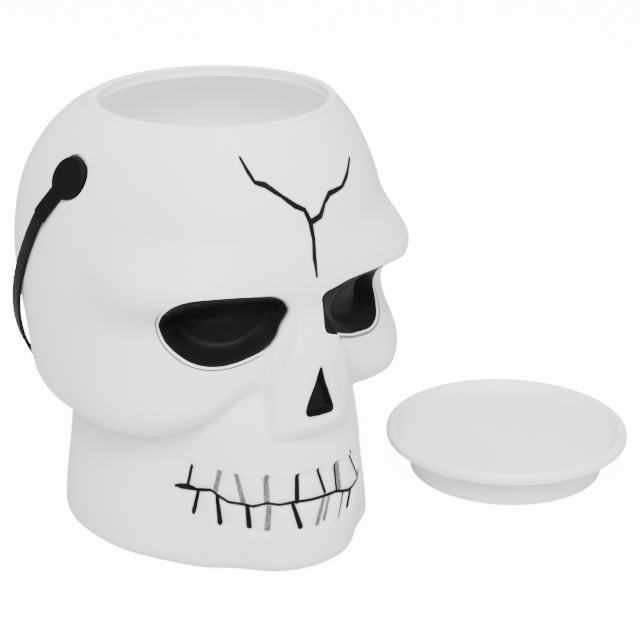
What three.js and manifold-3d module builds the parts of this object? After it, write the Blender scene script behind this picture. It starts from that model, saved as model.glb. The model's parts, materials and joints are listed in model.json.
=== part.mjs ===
// A skull-shaped treat pail: a moulded white shell with a round opening on top, a black strap handle
// that swings on two studs, and the round lid, taken off and lying beside the jaw.
// Millimetres, +Z up. The face looks along -Y, and the origin is the middle of the flat base.
import * as THREE from 'three';
import Module from 'manifold-3d';
import { mergeVertices } from 'three/addons/utils/BufferGeometryUtils.js';

const wasm = await Module();
wasm.setup();
const { clamp, degToRad, radToDeg } = THREE.MathUtils;

// Overall sizes of the shell
const skullHeight = 180;
const openingRadius = 46;
const lipWidth = 2.3;
const neckDepth = 4;
const wallThickness = 2.2;
const floorThickness = 2.4;
const footRounding = 5.5;
const creaseRounding = 2;
const weldDistance = 0.0002;
const rimRadius = openingRadius + lipWidth;

// Reach of the head and of the jaw from the opening's axis, and how far behind it their widest lines lie
const headHalfWidth = 76;
const headFront = 71;
const headBack = 80;
const headWidestBack = 20;
const jawHalfWidth = 63;
const jawFront = 76;
const jawBack = 66.5;
const jawWidestBack = 8;
const jawHollowDepth = 5;
const chinTaperDepth = 4.4;
const chinTaperHeight = 34;

// Handle: pivots, discs, studs and strap
const pivotDrop = 22.8;
const pivotForward = 1;
const seatClearance = 0.6;
const bossWall = 0.8;
const bossLength = 4;
const studRadius = 3.3;
const studClearance = 0.4;
const studHeadRadius = 5;
const studHeadThickness = 2;
const discRadius = 8;
const discStandOut = 1.8;
const discFaceRise = 0.3;
const discGap = 0.3;
const strapWidth = 5.8;
const strapThickness = 1.6;
const strapNeckWidth = 7.2;
const strapNeckDrop = 19;
const strapNeckTaper = 1.2;
const strapSideGap = 0.7;
const strapRestGap = 0.6;
const strapWidestShare = 0.25;
const strapRestShare = 0.2;

// Lid: a plug that fits the opening, under a wider round flange
const lidClearance = 0.5;
const lidTaper = 3;
const lidPlugDepth = 14.5;
const lidOverhang = 7.4;
const lidFlangeThickness = 5;
const lidRimWidth = 3.4;
const lidPanelDrop = 3.6;
const lidPanelSlope = 3.2;
const lidCrown = 0.8;
const lidWall = 1.8;
const lidEdgeRounding = 2.4;
const lidStandOff = 8.2;
const lidForward = 40.4;

// How finely the surfaces are divided
const faceHalfAngleDeg = 66;
const faceColumns = 40;
const backColumns = 22;
const outerRows = 46;
const innerRows = 16;
const strapSteps = 46;
const ringSides = 48;
const outlineSteps = 3;
const grooveStepWidths = 6;
const overrun = 20;

// Places that follow from the sizes above: the handle's pivot, where its strap rests behind the jaw
// and where it is widest, and the lid's edge
const pivotHeight = skullHeight - pivotDrop;
const seatRadius = discRadius + seatClearance;
const strapReach = headHalfWidth + strapSideGap + strapThickness / 2;
const restBack = pivotForward + jawBack + strapRestGap + strapWidth / 2;
const restDrop = pivotHeight - strapRestShare * skullHeight;
const strapWidestDrop = strapWidestShare * skullHeight;
const handleRest = Math.atan2(restBack, restDrop);
const handleLength = Math.hypot(restBack, restDrop);
const flangeRadius = openingRadius + lidOverhang;
const lidSide = jawHalfWidth + lidStandOff + flangeRadius;

// Head sections as shares: height, half width, front reach, back reach, offset of the widest line.
// The last section is the rim's circle.
const headShares = [
  [0.22, 0.66, 0.62, 0.65, 0],
  [0.255, 0.8, 0.73, 0.775, 0],
  [0.29, 0.895, 0.825, 0.862, 0.1],
  [0.335, 0.947, 0.887, 0.912, 0.2],
  [0.39, 0.98, 0.922, 0.944, 0.35],
  [0.445, 0.987, 0.93, 0.956, 0.5],
  [0.5, 0.987, 0.94, 0.969, 0.7],
  [0.555, 0.993, 0.958, 0.981, 0.85],
  [0.61, 1, 0.979, 0.988, 0.95],
  [0.665, 1, 0.997, 0.994, 1],
  [0.72, 0.99, 0.997, 0.994, 1],
  [0.775, 0.967, 0.983, 0.981, 1],
  [0.83, 0.93, 0.946, 0.958, 0.95],
  [0.89, 0.868, 0.873, 0.893, 0.8],
  [0.945, 0.783, 0.782, 0.806, 0.5],
  [0.978, 0.704, 0.725, 0.719, 0.25],
  [1, rimRadius / headHalfWidth, rimRadius / headFront, rimRadius / headBack, 0],
];

// Jaw sections as shares: height, half width, front reach, back reach, widest line, hollow beside the chin
const jawShares = [
  [0, 1.013, 0.99, 0.997, 1, 0.68],
  [0.085, 0.992, 0.997, 1, 1, 0.9],
  [0.165, 0.952, 0.991, 1, 1, 1],
  [0.22, 0.929, 0.974, 1, 1, 1],
  [0.28, 0.914, 0.951, 1, 1, 1],
  [0.335, 0.905, 0.914, 0.985, 1, 0.9],
  [0.445, 0.825, 0.816, 0.842, 1, 0.8],
  [0.555, 0.635, 0.658, 0.602, 1, 0.6],
];

// Height of the line where the cheek's underside meets the jaw: degrees from the front, share of the height
const creaseShares = [
  [0, 0.444], [15, 0.428], [20, 0.403], [26, 0.372], [34, 0.339], [44, 0.311],
  [58, 0.281], [75, 0.272], [90, 0.264], [120, 0.228], [180, 0.228],
];

// The brow ridge, the cheekbones, the temples and the undercut below the cheeks
// A pair of degrees or shares runs from where a form starts to where it is full
const browRise = 7.2;
const browMiddleRise = 2.2;
const browGrowDegs = [5, 42];
const browFadeDegs = [82, 52];
const browTurnDegs = [50, 64];
const browTopShare = 0.794;
const browCrestShare = 0.672;
const browFlankShare = 0.667;
const browFootShare = 0.589;
const templeFlankShare = 0.678;
const templeFootShare = 0.511;
const cheekRise = 5.2;
const cheekHeightShare = 0.406;
const cheekSpread = 15;
const cheekGrowDegs = [18, 48];
const cheekFadeDegs = [92, 62];
const templeDepth = 4;
const templeMiddleDeg = 54;
const templeSpreadDeg = 13;
const templeHeightShare = 0.567;
const templeSpread = 9;
const undercutDepth = 20;
const undercutPower = 2.2;
const undercutFrontHeight = 15;
const undercutBackHeight = 28;
const undercutTallDegs = [60, 120];
const undercutGrowDegs = [12, 30];
const jawHollowMiddleDeg = 48;
const jawHollowSpreadDeg = 20;
const jawFadeShares = [0.433, 0.611];
const chinTaperMiddleDeg = 26;
const chinTaperSpreadDeg = 11;
const faceEdgeDeg = 72;

// Eye sockets: outline in shares of the half angle and the half height, from the socket's middle
const eyeMiddleDeg = 30;
const eyeHalfAngleDeg = 24.5;
const eyeHeightShare = 0.5822;
const eyeHalfHeight = 16.8;
const eyeDepth = 9;
const eyeWall = 8;
const eyeOutlineShares = [
  [0.94, -0.12], [0.88, 0.15], [0.78, 0.42], [0.6, 0.74], [0.38, 0.93], [0.08, 1.02], [-0.3, 1],
  [-0.66, 0.91], [-0.87, 0.74], [-0.95, 0.42], [-0.93, 0.06], [-0.8, -0.32], [-0.58, -0.58],
  [-0.28, -0.84], [0.13, -0.93], [0.53, -0.79], [0.82, -0.46],
];

// Nose: a raised plinth that widens downwards, a round ridge on it, and a ringed opening
const noseTopHalfWidth = 6;
const noseFootHalfWidth = 17;
const noseTopShare = 0.633;
const noseWidestShare = 0.444;
const noseFootShare = 0.322;
const noseEdge = 3.2;
const plinthRise = 2.2;
const plinthTopShares = [0.667, 0.533];
const ridgeFootShares = [0.311, 0.367];
const ridgeTopShares = [0.644, 0.5];
const noseRise = 6.6;
const noseRidgeHalfWidth = 19;
const noseHoleHeightShare = 0.378;
const noseHoleTall = 20.3;
const noseHoleHalfWidth = 5.6;
const noseHoleDepth = 3;
const noseHoleWall = 1.8;
const ringRise = 1;
const ringWidth = 6;
const ringEdge = 2.6;
const ringInnerEdge = 1;
const noseHoleShares = [
  [0, 1], [0.43, 0.63], [1, 0.16], [0.93, 0.02], [0.45, 0], [0, 0],
  [-0.45, 0], [-0.93, 0.02], [-1, 0.16], [-0.43, 0.63],
];

// Mouth: a sunk band that curves up to its corners; half of its outline, mirrored about the middle
const mouthHalfAngleDeg = 56;
const mouthHeightShare = 0.266;
const mouthDepth = 1.8;
const mouthEdge = 3;
const mouthHalfShares = [
  [0, 0.94], [0.16, 0.927], [0.34, 0.925], [0.5, 0.943], [0.66, 0.98], [0.82, 1], [0.94, 0.965], [1, 0.84],
  [0.93, 0.67], [0.81, 0.54], [0.67, 0.465], [0.52, 0.4], [0.34, 0.345], [0.16, 0.3], [0, 0.28],
];

// Grooves, as shares of the mouth's half angle and height: the line between the rows of teeth,
// then the lines between the upper teeth and between the lower teeth, each from its top to its foot
const toothGroove = 1;
const bitelineShares = [
  [-0.9, 0.7], [-0.79, 0.73], [-0.63, 0.74], [-0.52, 0.66], [-0.38, 0.64], [-0.3, 0.67], [-0.15, 0.66],
  [0.04, 0.68], [0.17, 0.63], [0.28, 0.61], [0.36, 0.67], [0.5, 0.69], [0.63, 0.73], [0.79, 0.73], [0.9, 0.7],
];
const upperToothShares = [
  [[-0.77, 0.91], [-0.8, 0.74]], [[-0.57, 0.91], [-0.6, 0.74]], [[-0.47, 0.91], [-0.43, 0.66]],
  [[-0.3, 0.91], [-0.3, 0.67]], [[-0.12, 0.89], [-0.13, 0.66]], [[0.01, 0.9], [0.05, 0.68]],
  [[0.14, 0.91], [0.14, 0.64]], [[0.29, 0.92], [0.33, 0.66]], [[0.46, 0.92], [0.46, 0.69]],
  [[0.62, 0.92], [0.65, 0.74]], [[0.78, 0.91], [0.8, 0.74]],
];
const lowerToothShares = [
  [[-0.72, 0.7], [-0.74, 0.53]], [[-0.59, 0.7], [-0.58, 0.48]], [[-0.41, 0.64], [-0.41, 0.47]],
  [[-0.29, 0.66], [-0.3, 0.45]], [[-0.15, 0.65], [-0.13, 0.42]], [[0.04, 0.65], [-0.01, 0.41]],
  [[0.17, 0.62], [0.13, 0.42]], [[0.29, 0.62], [0.25, 0.44]], [[0.42, 0.67], [0.41, 0.46]],
  [[0.56, 0.7], [0.57, 0.5]], [[0.72, 0.7], [0.74, 0.54]],
];

// The crack in the forehead: two branches and a stem, as degrees from the front and shares of the height
const crackGroove = 0.9;
const crackShares = [
  [[-21.5, 0.944], [-17.4, 0.897], [-13.8, 0.89], [-8.7, 0.866], [-4.6, 0.844], [-1.4, 0.833], [0, 0.8]],
  [[29, 0.9], [17.2, 0.856], [10.3, 0.852], [7, 0.837], [4.3, 0.814], [0, 0.8]],
  [[0, 0.8], [0, 0.772], [0, 0.734], [0, 0.692]],
];

// How the strap bows outwards below its disc: share of the drop to its widest place, share of the bow
const strapBowShares = [
  [0, 0], [0.21, 0.41], [0.42, 0.787], [0.58, 0.9], [0.78, 0.97], [1, 1],
];

// Shares at which the foot's rounding, the wall near each inner ring, the lid's rounded edge and the
// lid's crown are taken
const footShares = [0, 0.08, 0.3, 0.62];
const nearShares = [-0.4, 0, 0.4];
const quarterShares = [0.25, 0.5, 0.75, 1];
const lidCrownShares = [[0.72, 0.5], [0.4, 0.88]];

// Small helpers
const ramp = (from, to, value) => {
  const share = clamp((value - from) / (to - from), 0, 1);
  return share * share * (3 - 2 * share);
};
const hump = (value, middle, spread) => Math.exp(-(((value - middle) / spread) ** 2));

// Slope of a table's column at one of its rows, from the rows beside it
function slopeAt(rows, k, column) {
  const left = k > 0 ? rows[k][0] - rows[k - 1][0] : 0;
  const right = k < rows.length - 1 ? rows[k + 1][0] - rows[k][0] : 0;
  const fall = left > 0 ? (rows[k][column] - rows[k - 1][column]) / left : 0;
  const rise = right > 0 ? (rows[k + 1][column] - rows[k][column]) / right : 0;
  if (left === 0) return rise;
  if (right === 0) return fall;
  return (left * rise + right * fall) / (left + right);
}

// A row of the table at any place, on a smooth curve through its rows
function tableAt(rows, place) {
  const x = clamp(place, rows[0][0], rows[rows.length - 1][0]);
  let i = rows.length - 2;
  while (i > 0 && rows[i][0] > x) i -= 1;
  const gap = rows[i + 1][0] - rows[i][0];
  const u = (x - rows[i][0]) / gap;
  return rows[i].map((value, column) => {
    const start = value * (2 * u ** 3 - 3 * u ** 2 + 1);
    const end = rows[i + 1][column] * (3 * u ** 2 - 2 * u ** 3);
    const lead = gap * slopeAt(rows, i, column) * (u ** 3 - 2 * u ** 2 + u);
    const lag = gap * slopeAt(rows, i + 1, column) * (u ** 3 - u ** 2);
    return start + end + lead + lag;
  });
}

// A table's value on straight lines between its rows
function lineAt(rows, place) {
  let i = 0;
  while (i < rows.length - 2 && rows[i + 1][0] < place) i += 1;
  const share = clamp((place - rows[i][0]) / (rows[i + 1][0] - rows[i][0]), 0, 1);
  return rows[i][1] + share * (rows[i + 1][1] - rows[i][1]);
}

// Closed smooth outline through points, as [x, z] pairs
function closedOutline(points) {
  const corners = points.map(([x, z]) => new THREE.Vector3(x, 0, z));
  const curve = new THREE.CatmullRomCurve3(corners, true, 'catmullrom', 0.5);
  return curve.getPoints(points.length * outlineSteps).slice(0, -1).map((p) => [p.x, p.z]);
}

// Distance from a point to an outline's edge, positive inside it
function depthInside(outline, x, z) {
  let nearest = Infinity;
  let inside = false;
  outline.forEach(([x1, z1], i) => {
    const [x0, z0] = outline[(i + outline.length - 1) % outline.length];
    const dx = x1 - x0;
    const dz = z1 - z0;
    const share = clamp(((x - x0) * dx + (z - z0) * dz) / (dx * dx + dz * dz), 0, 1);
    nearest = Math.min(nearest, Math.hypot(x - x0 - share * dx, z - z0 - share * dz));
    if ((z0 > z) !== (z1 > z) && x < x0 + (dx * (z - z0)) / dz) inside = !inside;
  });
  return inside ? nearest : -nearest;
}

// Distance from the vertical axis to an egg-shaped section, in a direction given from the front
function eggRadius(angle, halfWidth, front, back, widestBack) {
  const ahead = Math.cos(angle);
  const aside = Math.sin(angle);
  const before = halfWidth * ahead > -widestBack * Math.abs(aside);
  const reach = before ? front + widestBack : back - widestBack;
  const a = (aside / halfWidth) ** 2 + (ahead / reach) ** 2;
  const b = (ahead * widestBack) / reach ** 2;
  return (Math.sqrt(b * b + a * (1 - (widestBack / reach) ** 2)) - b) / a;
}

function headRadius(angle, height) {
  const [, width, front, back, widest] = tableAt(headShares, height / skullHeight);
  const reaches = [width * headHalfWidth, front * headFront, back * headBack, widest * headWidestBack];
  return eggRadius(angle, ...reaches);
}

function jawRadius(angle, height) {
  const [, width, front, back, widest, hollow] = tableAt(jawShares, height / skullHeight);
  const reaches = [width * jawHalfWidth, front * jawFront, back * jawBack, widest * jawWidestBack];
  const degrees = Math.abs(radToDeg(angle));
  const side = hollow * jawHollowDepth * hump(degrees, jawHollowMiddleDeg, jawHollowSpreadDeg);
  const chin = chinTaperDepth * hump(degrees, chinTaperMiddleDeg, chinTaperSpreadDeg);
  const fade = ramp(...jawFadeShares, height / skullHeight);
  return eggRadius(angle, ...reaches) - side - chin * ramp(chinTaperHeight, 0, height) - jawHalfWidth * fade;
}

// Brow ridge, cheekbones and temples, added to the head
function faceRelief(degrees, height) {
  const share = height / skullHeight;
  const away = ramp(...browTurnDegs, degrees);
  const foot = browFootShare + (templeFootShare - browFootShare) * away;
  const flank = browFlankShare + (templeFlankShare - browFlankShare) * away;
  const browSides = browMiddleRise + browRise * ramp(...browGrowDegs, degrees);
  const browEnds = browSides * ramp(...browFadeDegs, degrees);
  const brow = browEnds * ramp(browTopShare, browCrestShare, share) * ramp(foot, flank, share);
  const cheekSides = cheekRise * ramp(...cheekGrowDegs, degrees) * ramp(...cheekFadeDegs, degrees);
  const cheek = cheekSides * hump(height, cheekHeightShare * skullHeight, cheekSpread);
  const templeSides = templeDepth * hump(degrees, templeMiddleDeg, templeSpreadDeg);
  const temple = templeSides * hump(height, templeHeightShare * skullHeight, templeSpread);
  return brow + cheek - temple;
}

// The bare form: head and jaw, joined by a soft crease
function formRadius(angle, height) {
  const degrees = Math.abs(radToDeg(angle));
  const crease = lineAt(creaseShares, degrees) * skullHeight;
  const behind = ramp(...undercutTallDegs, degrees);
  const tall = undercutFrontHeight + (undercutBackHeight - undercutFrontHeight) * behind;
  const under = Math.max((crease + tall - height) / tall, 0);
  const undercut = undercutDepth * under ** undercutPower * ramp(...undercutGrowDegs, degrees);
  const head = headRadius(angle, height) + faceRelief(degrees, height) - undercut;
  const jaw = jawRadius(angle, height);
  const share = clamp(0.5 + (0.5 * (head - jaw)) / creaseRounding, 0, 1);
  return jaw + (head - jaw) * share + creaseRounding * share * (1 - share);
}

// Outlines on the face, in millimetres across and up
const eyeReach = headFront * degToRad(eyeHalfAngleDeg);
const mouthReach = jawFront * degToRad(mouthHalfAngleDeg);
const eyeHeight = eyeHeightShare * skullHeight;
const noseHoleHeight = noseHoleHeightShare * skullHeight;
const mouthHeight = mouthHeightShare * skullHeight;
const eyePoints = eyeOutlineShares.map(([u, v]) => [u * eyeReach, eyeHeight + v * eyeHalfHeight]);
const eyeOutline = closedOutline(eyePoints);
const mouthRight = mouthHalfShares.map(([u, v]) => [u * mouthReach, v * mouthHeight]);
const mouthLeft = mouthRight.slice(1, -1).reverse().map(([x, z]) => [-x, z]);
const mouthOutline = closedOutline([...mouthRight, ...mouthLeft]);
const nosePoints = noseHoleShares.map(([u, v]) => [u * noseHoleHalfWidth, noseHoleHeight + v * noseHoleTall]);
const noseHoleOutline = closedOutline(nosePoints);

// The nose stands out of the face by this much
function noseRelief(x, height) {
  const share = height / skullHeight;
  const spread = ramp(noseTopShare, noseWidestShare, share);
  const halfWidth = noseTopHalfWidth + (noseFootHalfWidth - noseTopHalfWidth) * spread;
  const edge = Math.min(halfWidth - Math.abs(x), height - noseFootShare * skullHeight);
  const plinth = ramp(-noseEdge / 3, (2 * noseEdge) / 3, edge) * ramp(...plinthTopShares, share);
  const across = Math.sqrt(Math.max(1 - (x / noseRidgeHalfWidth) ** 2, 0));
  const ridge = across * ramp(...ridgeFootShares, share) * ramp(...ridgeTopShares, share);
  const hole = depthInside(noseHoleOutline, x, height);
  const inner = ramp(ringInnerEdge / 2, -ringInnerEdge, hole);
  const ring = ringRise * ramp(-ringWidth, ringEdge - ringWidth, hole) * inner;
  const pit = noseHoleDepth * ramp(0, noseHoleWall, hole);
  return plinthRise * plinth + noseRise * ridge * plinth + ring - pit;
}

// Outer surface of the shell: distance from the axis in a direction, at a height
function skullRadius(angle, height) {
  const form = formRadius(angle, height);
  const degrees = radToDeg(angle);
  const facing = Math.abs(degrees) < faceEdgeDeg;
  const x = form * Math.sin(angle);
  const nose = facing && Math.abs(x) < noseRidgeHalfWidth ? noseRelief(x, height) : 0;
  const eyeAcross = headFront * degToRad(Math.abs(degrees) - eyeMiddleDeg);
  const inEye = facing ? depthInside(eyeOutline, eyeAcross, height) : 0;
  const inMouth = facing ? depthInside(mouthOutline, jawFront * angle, height) : 0;
  const eye = eyeDepth * ramp(0, eyeWall, inEye);
  const mouth = mouthDepth * ramp(0, mouthEdge, inMouth);
  const low = clamp((footRounding - height) / footRounding, 0, 1);
  const foot = footRounding * (1 - Math.sqrt(1 - low * low));
  return form + nose - eye - mouth - foot;
}

// A point of the shell's outer surface
function skinPoint(angle, height) {
  const radius = skullRadius(angle, height);
  return new THREE.Vector3(radius * Math.sin(angle), -radius * Math.cos(angle), height);
}

// Plane of each disc's flat seat, level with the skin at the cup's upper edge, and the disc's sloping
// face, which stands out of the skin and runs the way that the strap leaves it
const seatReach = skullRadius(Math.PI / 2, pivotHeight + seatRadius + bossWall);
const discFace = skullRadius(Math.PI / 2, pivotHeight) + discStandOut;
const strapStart = discFace - discFaceRise - strapThickness / 2;
const [firstDropShare, firstBowShare] = strapBowShares[1];
const discTilt = Math.atan2(firstBowShare * (strapReach - strapStart), firstDropShare * strapWidestDrop);

// Closed body through rings with equally many points, with a fan of triangles on each end.
// Each quad is split along its shorter diagonal, which follows the ridges better.
function loft(rings) {
  const sides = rings[0].length;
  const middleOf = (ring) => ring.reduce((sum, p) => sum.add(p), new THREE.Vector3()).divideScalar(sides);
  const points = [...rings.flat(), middleOf(rings[0]), middleOf(rings[rings.length - 1])];
  const triangles = [];
  for (let ring = 0; ring < rings.length - 1; ring += 1) {
    for (let side = 0; side < sides; side += 1) {
      const next = (side + 1) % sides;
      const a = ring * sides + side;
      const b = ring * sides + next;
      const onward = points[a].distanceTo(points[b + sides]);
      const backward = points[b].distanceTo(points[a + sides]);
      if (onward <= backward) triangles.push(a, b, b + sides, a, b + sides, a + sides);
      else triangles.push(a, b, a + sides, b, b + sides, a + sides);
    }
  }
  const last = (rings.length - 1) * sides;
  for (let side = 0; side < sides; side += 1) {
    const next = (side + 1) % sides;
    triangles.push(points.length - 2, next, side);
    triangles.push(points.length - 1, last + side, last + next);
  }
  const geometry = new THREE.BufferGeometry().setFromPoints(points);
  geometry.setIndex(triangles);
  return geometry;
}

// A solid for joining and cutting, from a closed geometry turned to face outwards
function toSolid(geometry) {
  const bare = geometry.clone();
  bare.deleteAttribute('normal');
  bare.deleteAttribute('uv');
  const merged = mergeVertices(bare, weldDistance);
  const spots = merged.attributes.position;
  const cornerAt = (_, i) => new THREE.Vector3().fromBufferAttribute(spots, i);
  const corners = Array.from({ length: spots.count }, cornerAt);
  const faces = [];
  let volume = 0;
  for (let i = 0; i < merged.index.count; i += 3) {
    const [a, b, c] = [0, 1, 2].map((k) => merged.index.getX(i + k));
    if (a !== b && b !== c && c !== a) {
      faces.push([a, b, c]);
      volume += corners[a].dot(new THREE.Vector3().crossVectors(corners[b], corners[c]));
    }
  }
  const triVerts = new Uint32Array(faces.flatMap(([a, b, c]) => (volume > 0 ? [a, b, c] : [a, c, b])));
  const vertProperties = new Float32Array(spots.array);
  return new wasm.Manifold(new wasm.Mesh({ numProp: 3, vertProperties, triVerts }));
}

function toGeometry(solid) {
  const { vertProperties, triVerts } = solid.getMesh();
  const geometry = new THREE.BufferGeometry();
  geometry.setAttribute('position', new THREE.BufferAttribute(new Float32Array(vertProperties), 3));
  geometry.setIndex(new THREE.BufferAttribute(new Uint32Array(triVerts), 1));
  geometry.computeVertexNormals();
  return geometry;
}

// Round body on the X axis, on the side given by +1 or -1, from [reach, radius] pairs
function sideTurning(profile, side) {
  const points = profile.map(([reach, radius]) => new THREE.Vector2(radius, reach));
  const turning = new THREE.LatheGeometry(points, ringSides / 2);
  turning.rotateZ(-side * (Math.PI / 2));
  return toSolid(turning);
}

// Directions of the shell's columns: close together on the face, wide apart behind
const halfFace = degToRad(faceHalfAngleDeg);
const halfBack = Math.PI - halfFace;
const columnAngles = [
  ...Array.from({ length: faceColumns }, (_, i) => -halfFace + (2 * halfFace * i) / faceColumns),
  ...Array.from({ length: backColumns }, (_, i) => halfFace + (2 * halfBack * i) / backColumns),
].map((angle) => (angle > Math.PI ? angle - 2 * Math.PI : angle));

// Rings that climb the outside from the base to the lip
function outerRings() {
  const footHeights = footShares.map((share) => share * footRounding);
  const wallHeights = Array.from({ length: outerRows + 1 }, (_, i) =>
    footRounding + ((skullHeight - footRounding) * i) / outerRows);
  const heights = [...footHeights, ...wallHeights];
  return heights.map((height) => columnAngles.map((angle) => skinPoint(angle, height)));
}

// Shell: the outer rings, then rings across the lip and down the inside to the floor
function shellGeometry() {
  const circle = (height) => columnAngles.map((angle) =>
    new THREE.Vector3(openingRadius * Math.sin(angle), -openingRadius * Math.cos(angle), height));
  const neckFoot = skullHeight - neckDepth;
  const step = (neckFoot - floorThickness) / innerRows;
  const inner = Array.from({ length: innerRows }, (_, i) => {
    const height = neckFoot - step * (i + 1);
    return columnAngles.map((angle) => {
      const near = nearShares.map((share) => skullRadius(angle, Math.max(height + share * step, 0)));
      const radius = Math.min(...near) - wallThickness;
      return new THREE.Vector3(radius * Math.sin(angle), -radius * Math.cos(angle), height);
    });
  });
  return loft([...outerRings(), circle(skullHeight), circle(neckFoot), ...inner]);
}

// Cutter for a groove along a line on the outer surface, given as [angle, height] points
function grooveCutter(line, halfWidth) {
  const spots = [];
  line.slice(1).forEach(([angle, height], i) => {
    const [fromAngle, fromHeight] = line[i];
    const run = Math.hypot((angle - fromAngle) * jawFront, height - fromHeight);
    const steps = Math.max(Math.round(run / (grooveStepWidths * halfWidth)), 1);
    for (let k = i === 0 ? 0 : 1; k <= steps; k += 1) {
      const share = k / steps;
      spots.push([fromAngle + (angle - fromAngle) * share, fromHeight + (height - fromHeight) * share]);
    }
  });
  const path = spots.map(([angle, height]) => skinPoint(angle, height));
  const rings = path.map((point, i) => {
    const along = path[Math.min(i + 1, path.length - 1)].clone().sub(path[Math.max(i - 1, 0)]);
    const outward = new THREE.Vector3(Math.sin(spots[i][0]), -Math.cos(spots[i][0]), 0);
    const sideways = new THREE.Vector3().crossVectors(along, outward).setLength(halfWidth);
    return [
      point.clone().add(sideways).addScaledVector(outward, halfWidth / 4),
      point.clone().addScaledVector(outward, 2 * halfWidth),
      point.clone().sub(sideways).addScaledVector(outward, halfWidth / 4),
      point.clone().addScaledVector(outward, -halfWidth),
    ];
  });
  return toSolid(loft(rings));
}

// Round slug on the pivot's axis, on one side, between two reaches
function slug(side, from, to, radius) {
  const turning = sideTurning([[from, 0], [from, radius], [to, radius], [to, 0]], side);
  return turning.translate([0, -pivotForward, pivotHeight]);
}

// The shell, with a cup whose floor is a flat seat for each disc, a hole for each stud, and the grooves.
// The cup's wall ends at the skin.
function skullShell() {
  let shell = toSolid(shellGeometry());
  const body = toSolid(loft(outerRings()));
  const back = seatReach - bossLength;
  const beyond = seatReach + overrun;
  for (const side of [-1, 1]) {
    shell = shell.add(slug(side, back, seatReach, seatRadius + bossWall));
    shell = shell.add(slug(side, back, beyond, seatRadius + bossWall).intersect(body));
    shell = shell.subtract(slug(side, seatReach, beyond, seatRadius));
    shell = shell.subtract(slug(side, seatReach - overrun, beyond, studRadius + studClearance));
    shell = shell.subtract(slug(side, seatReach - overrun, back, studHeadRadius + studClearance));
  }
  const mouthHalfAngle = degToRad(mouthHalfAngleDeg);
  const onMouth = ([u, v]) => [u * mouthHalfAngle, v * mouthHeight];
  const onForehead = ([degrees, share]) => [degToRad(degrees), share * skullHeight];
  for (const line of [bitelineShares, ...upperToothShares, ...lowerToothShares]) {
    shell = shell.subtract(grooveCutter(line.map(onMouth), toothGroove));
  }
  for (const line of crackShares) {
    shell = shell.subtract(grooveCutter(line.map(onForehead), crackGroove));
  }
  return toGeometry(shell);
}

// Handle: a bowed flat strap between two discs, each with a stud that snaps into the shell
function strapReachAt(drop) {
  if (drop < strapWidestDrop) {
    return strapStart + (strapReach - strapStart) * tableAt(strapBowShares, drop / strapWidestDrop)[1];
  }
  const share = (drop - strapWidestDrop) / (handleLength - strapWidestDrop);
  return strapReach * Math.sqrt(Math.max(1 - share * share, 0));
}

function handleStrap() {
  const bowDepth = handleLength - strapWidestDrop;
  const evenDrops = Array.from({ length: strapSteps / 2 }, (_, i) => {
    const share = i / (strapSteps / 2);
    const turn = Math.max(share - 0.5, 0) * Math.PI;
    return Math.min(2 * share, 1) * strapWidestDrop + bowDepth * Math.sin(turn);
  });
  const neckEnd = strapNeckDrop + strapNeckTaper;
  const beside = (drop) => drop < strapNeckDrop - strapNeckTaper || drop > neckEnd + strapNeckTaper;
  const drops = [...evenDrops.filter(beside), strapNeckDrop, neckEnd].sort((a, b) => a - b);
  const half = drops.map((drop) => [strapReachAt(drop), drop]);
  const path = [...half, [0, handleLength], ...half.slice().reverse().map(([x, drop]) => [-x, drop])];
  const rings = path.map(([x, drop], i) => {
    const [x0, drop0] = path[Math.max(i - 1, 0)];
    const [x1, drop1] = path[Math.min(i + 1, path.length - 1)];
    const run = Math.hypot(x1 - x0, drop1 - drop0);
    const outX = ((drop1 - drop0) / run) * (strapThickness / 2);
    const outDrop = ((x0 - x1) / run) * (strapThickness / 2);
    const edge = (drop > strapNeckDrop ? strapWidth : strapNeckWidth) / 2;
    const corners = [[1, -edge], [1, edge], [-1, edge], [-1, -edge]];
    const corner = ([side, across]) => new THREE.Vector3(x + side * outX, across, -drop - side * outDrop);
    return corners.map(corner);
  });
  let handle = toSolid(loft(rings));
  const discBack = seatReach + discGap;
  const headFace = seatReach - bossLength - discGap;
  const studEnd = headFace - studHeadThickness;
  const button = [
    [studEnd, 0], [studEnd, studHeadRadius - studHeadThickness / 2], [headFace, studHeadRadius],
    [headFace, studRadius], [discBack, studRadius], [discBack, discRadius],
    [discFace + discRadius, discRadius], [discFace + discRadius, 0],
  ];
  for (const side of [-1, 1]) {
    const inward = [-side * Math.cos(discTilt), 0, -Math.sin(discTilt)];
    handle = handle.add(sideTurning(button, side).trimByPlane(inward, -discFace * Math.cos(discTilt)));
  }
  return toGeometry(handle);
}

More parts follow.
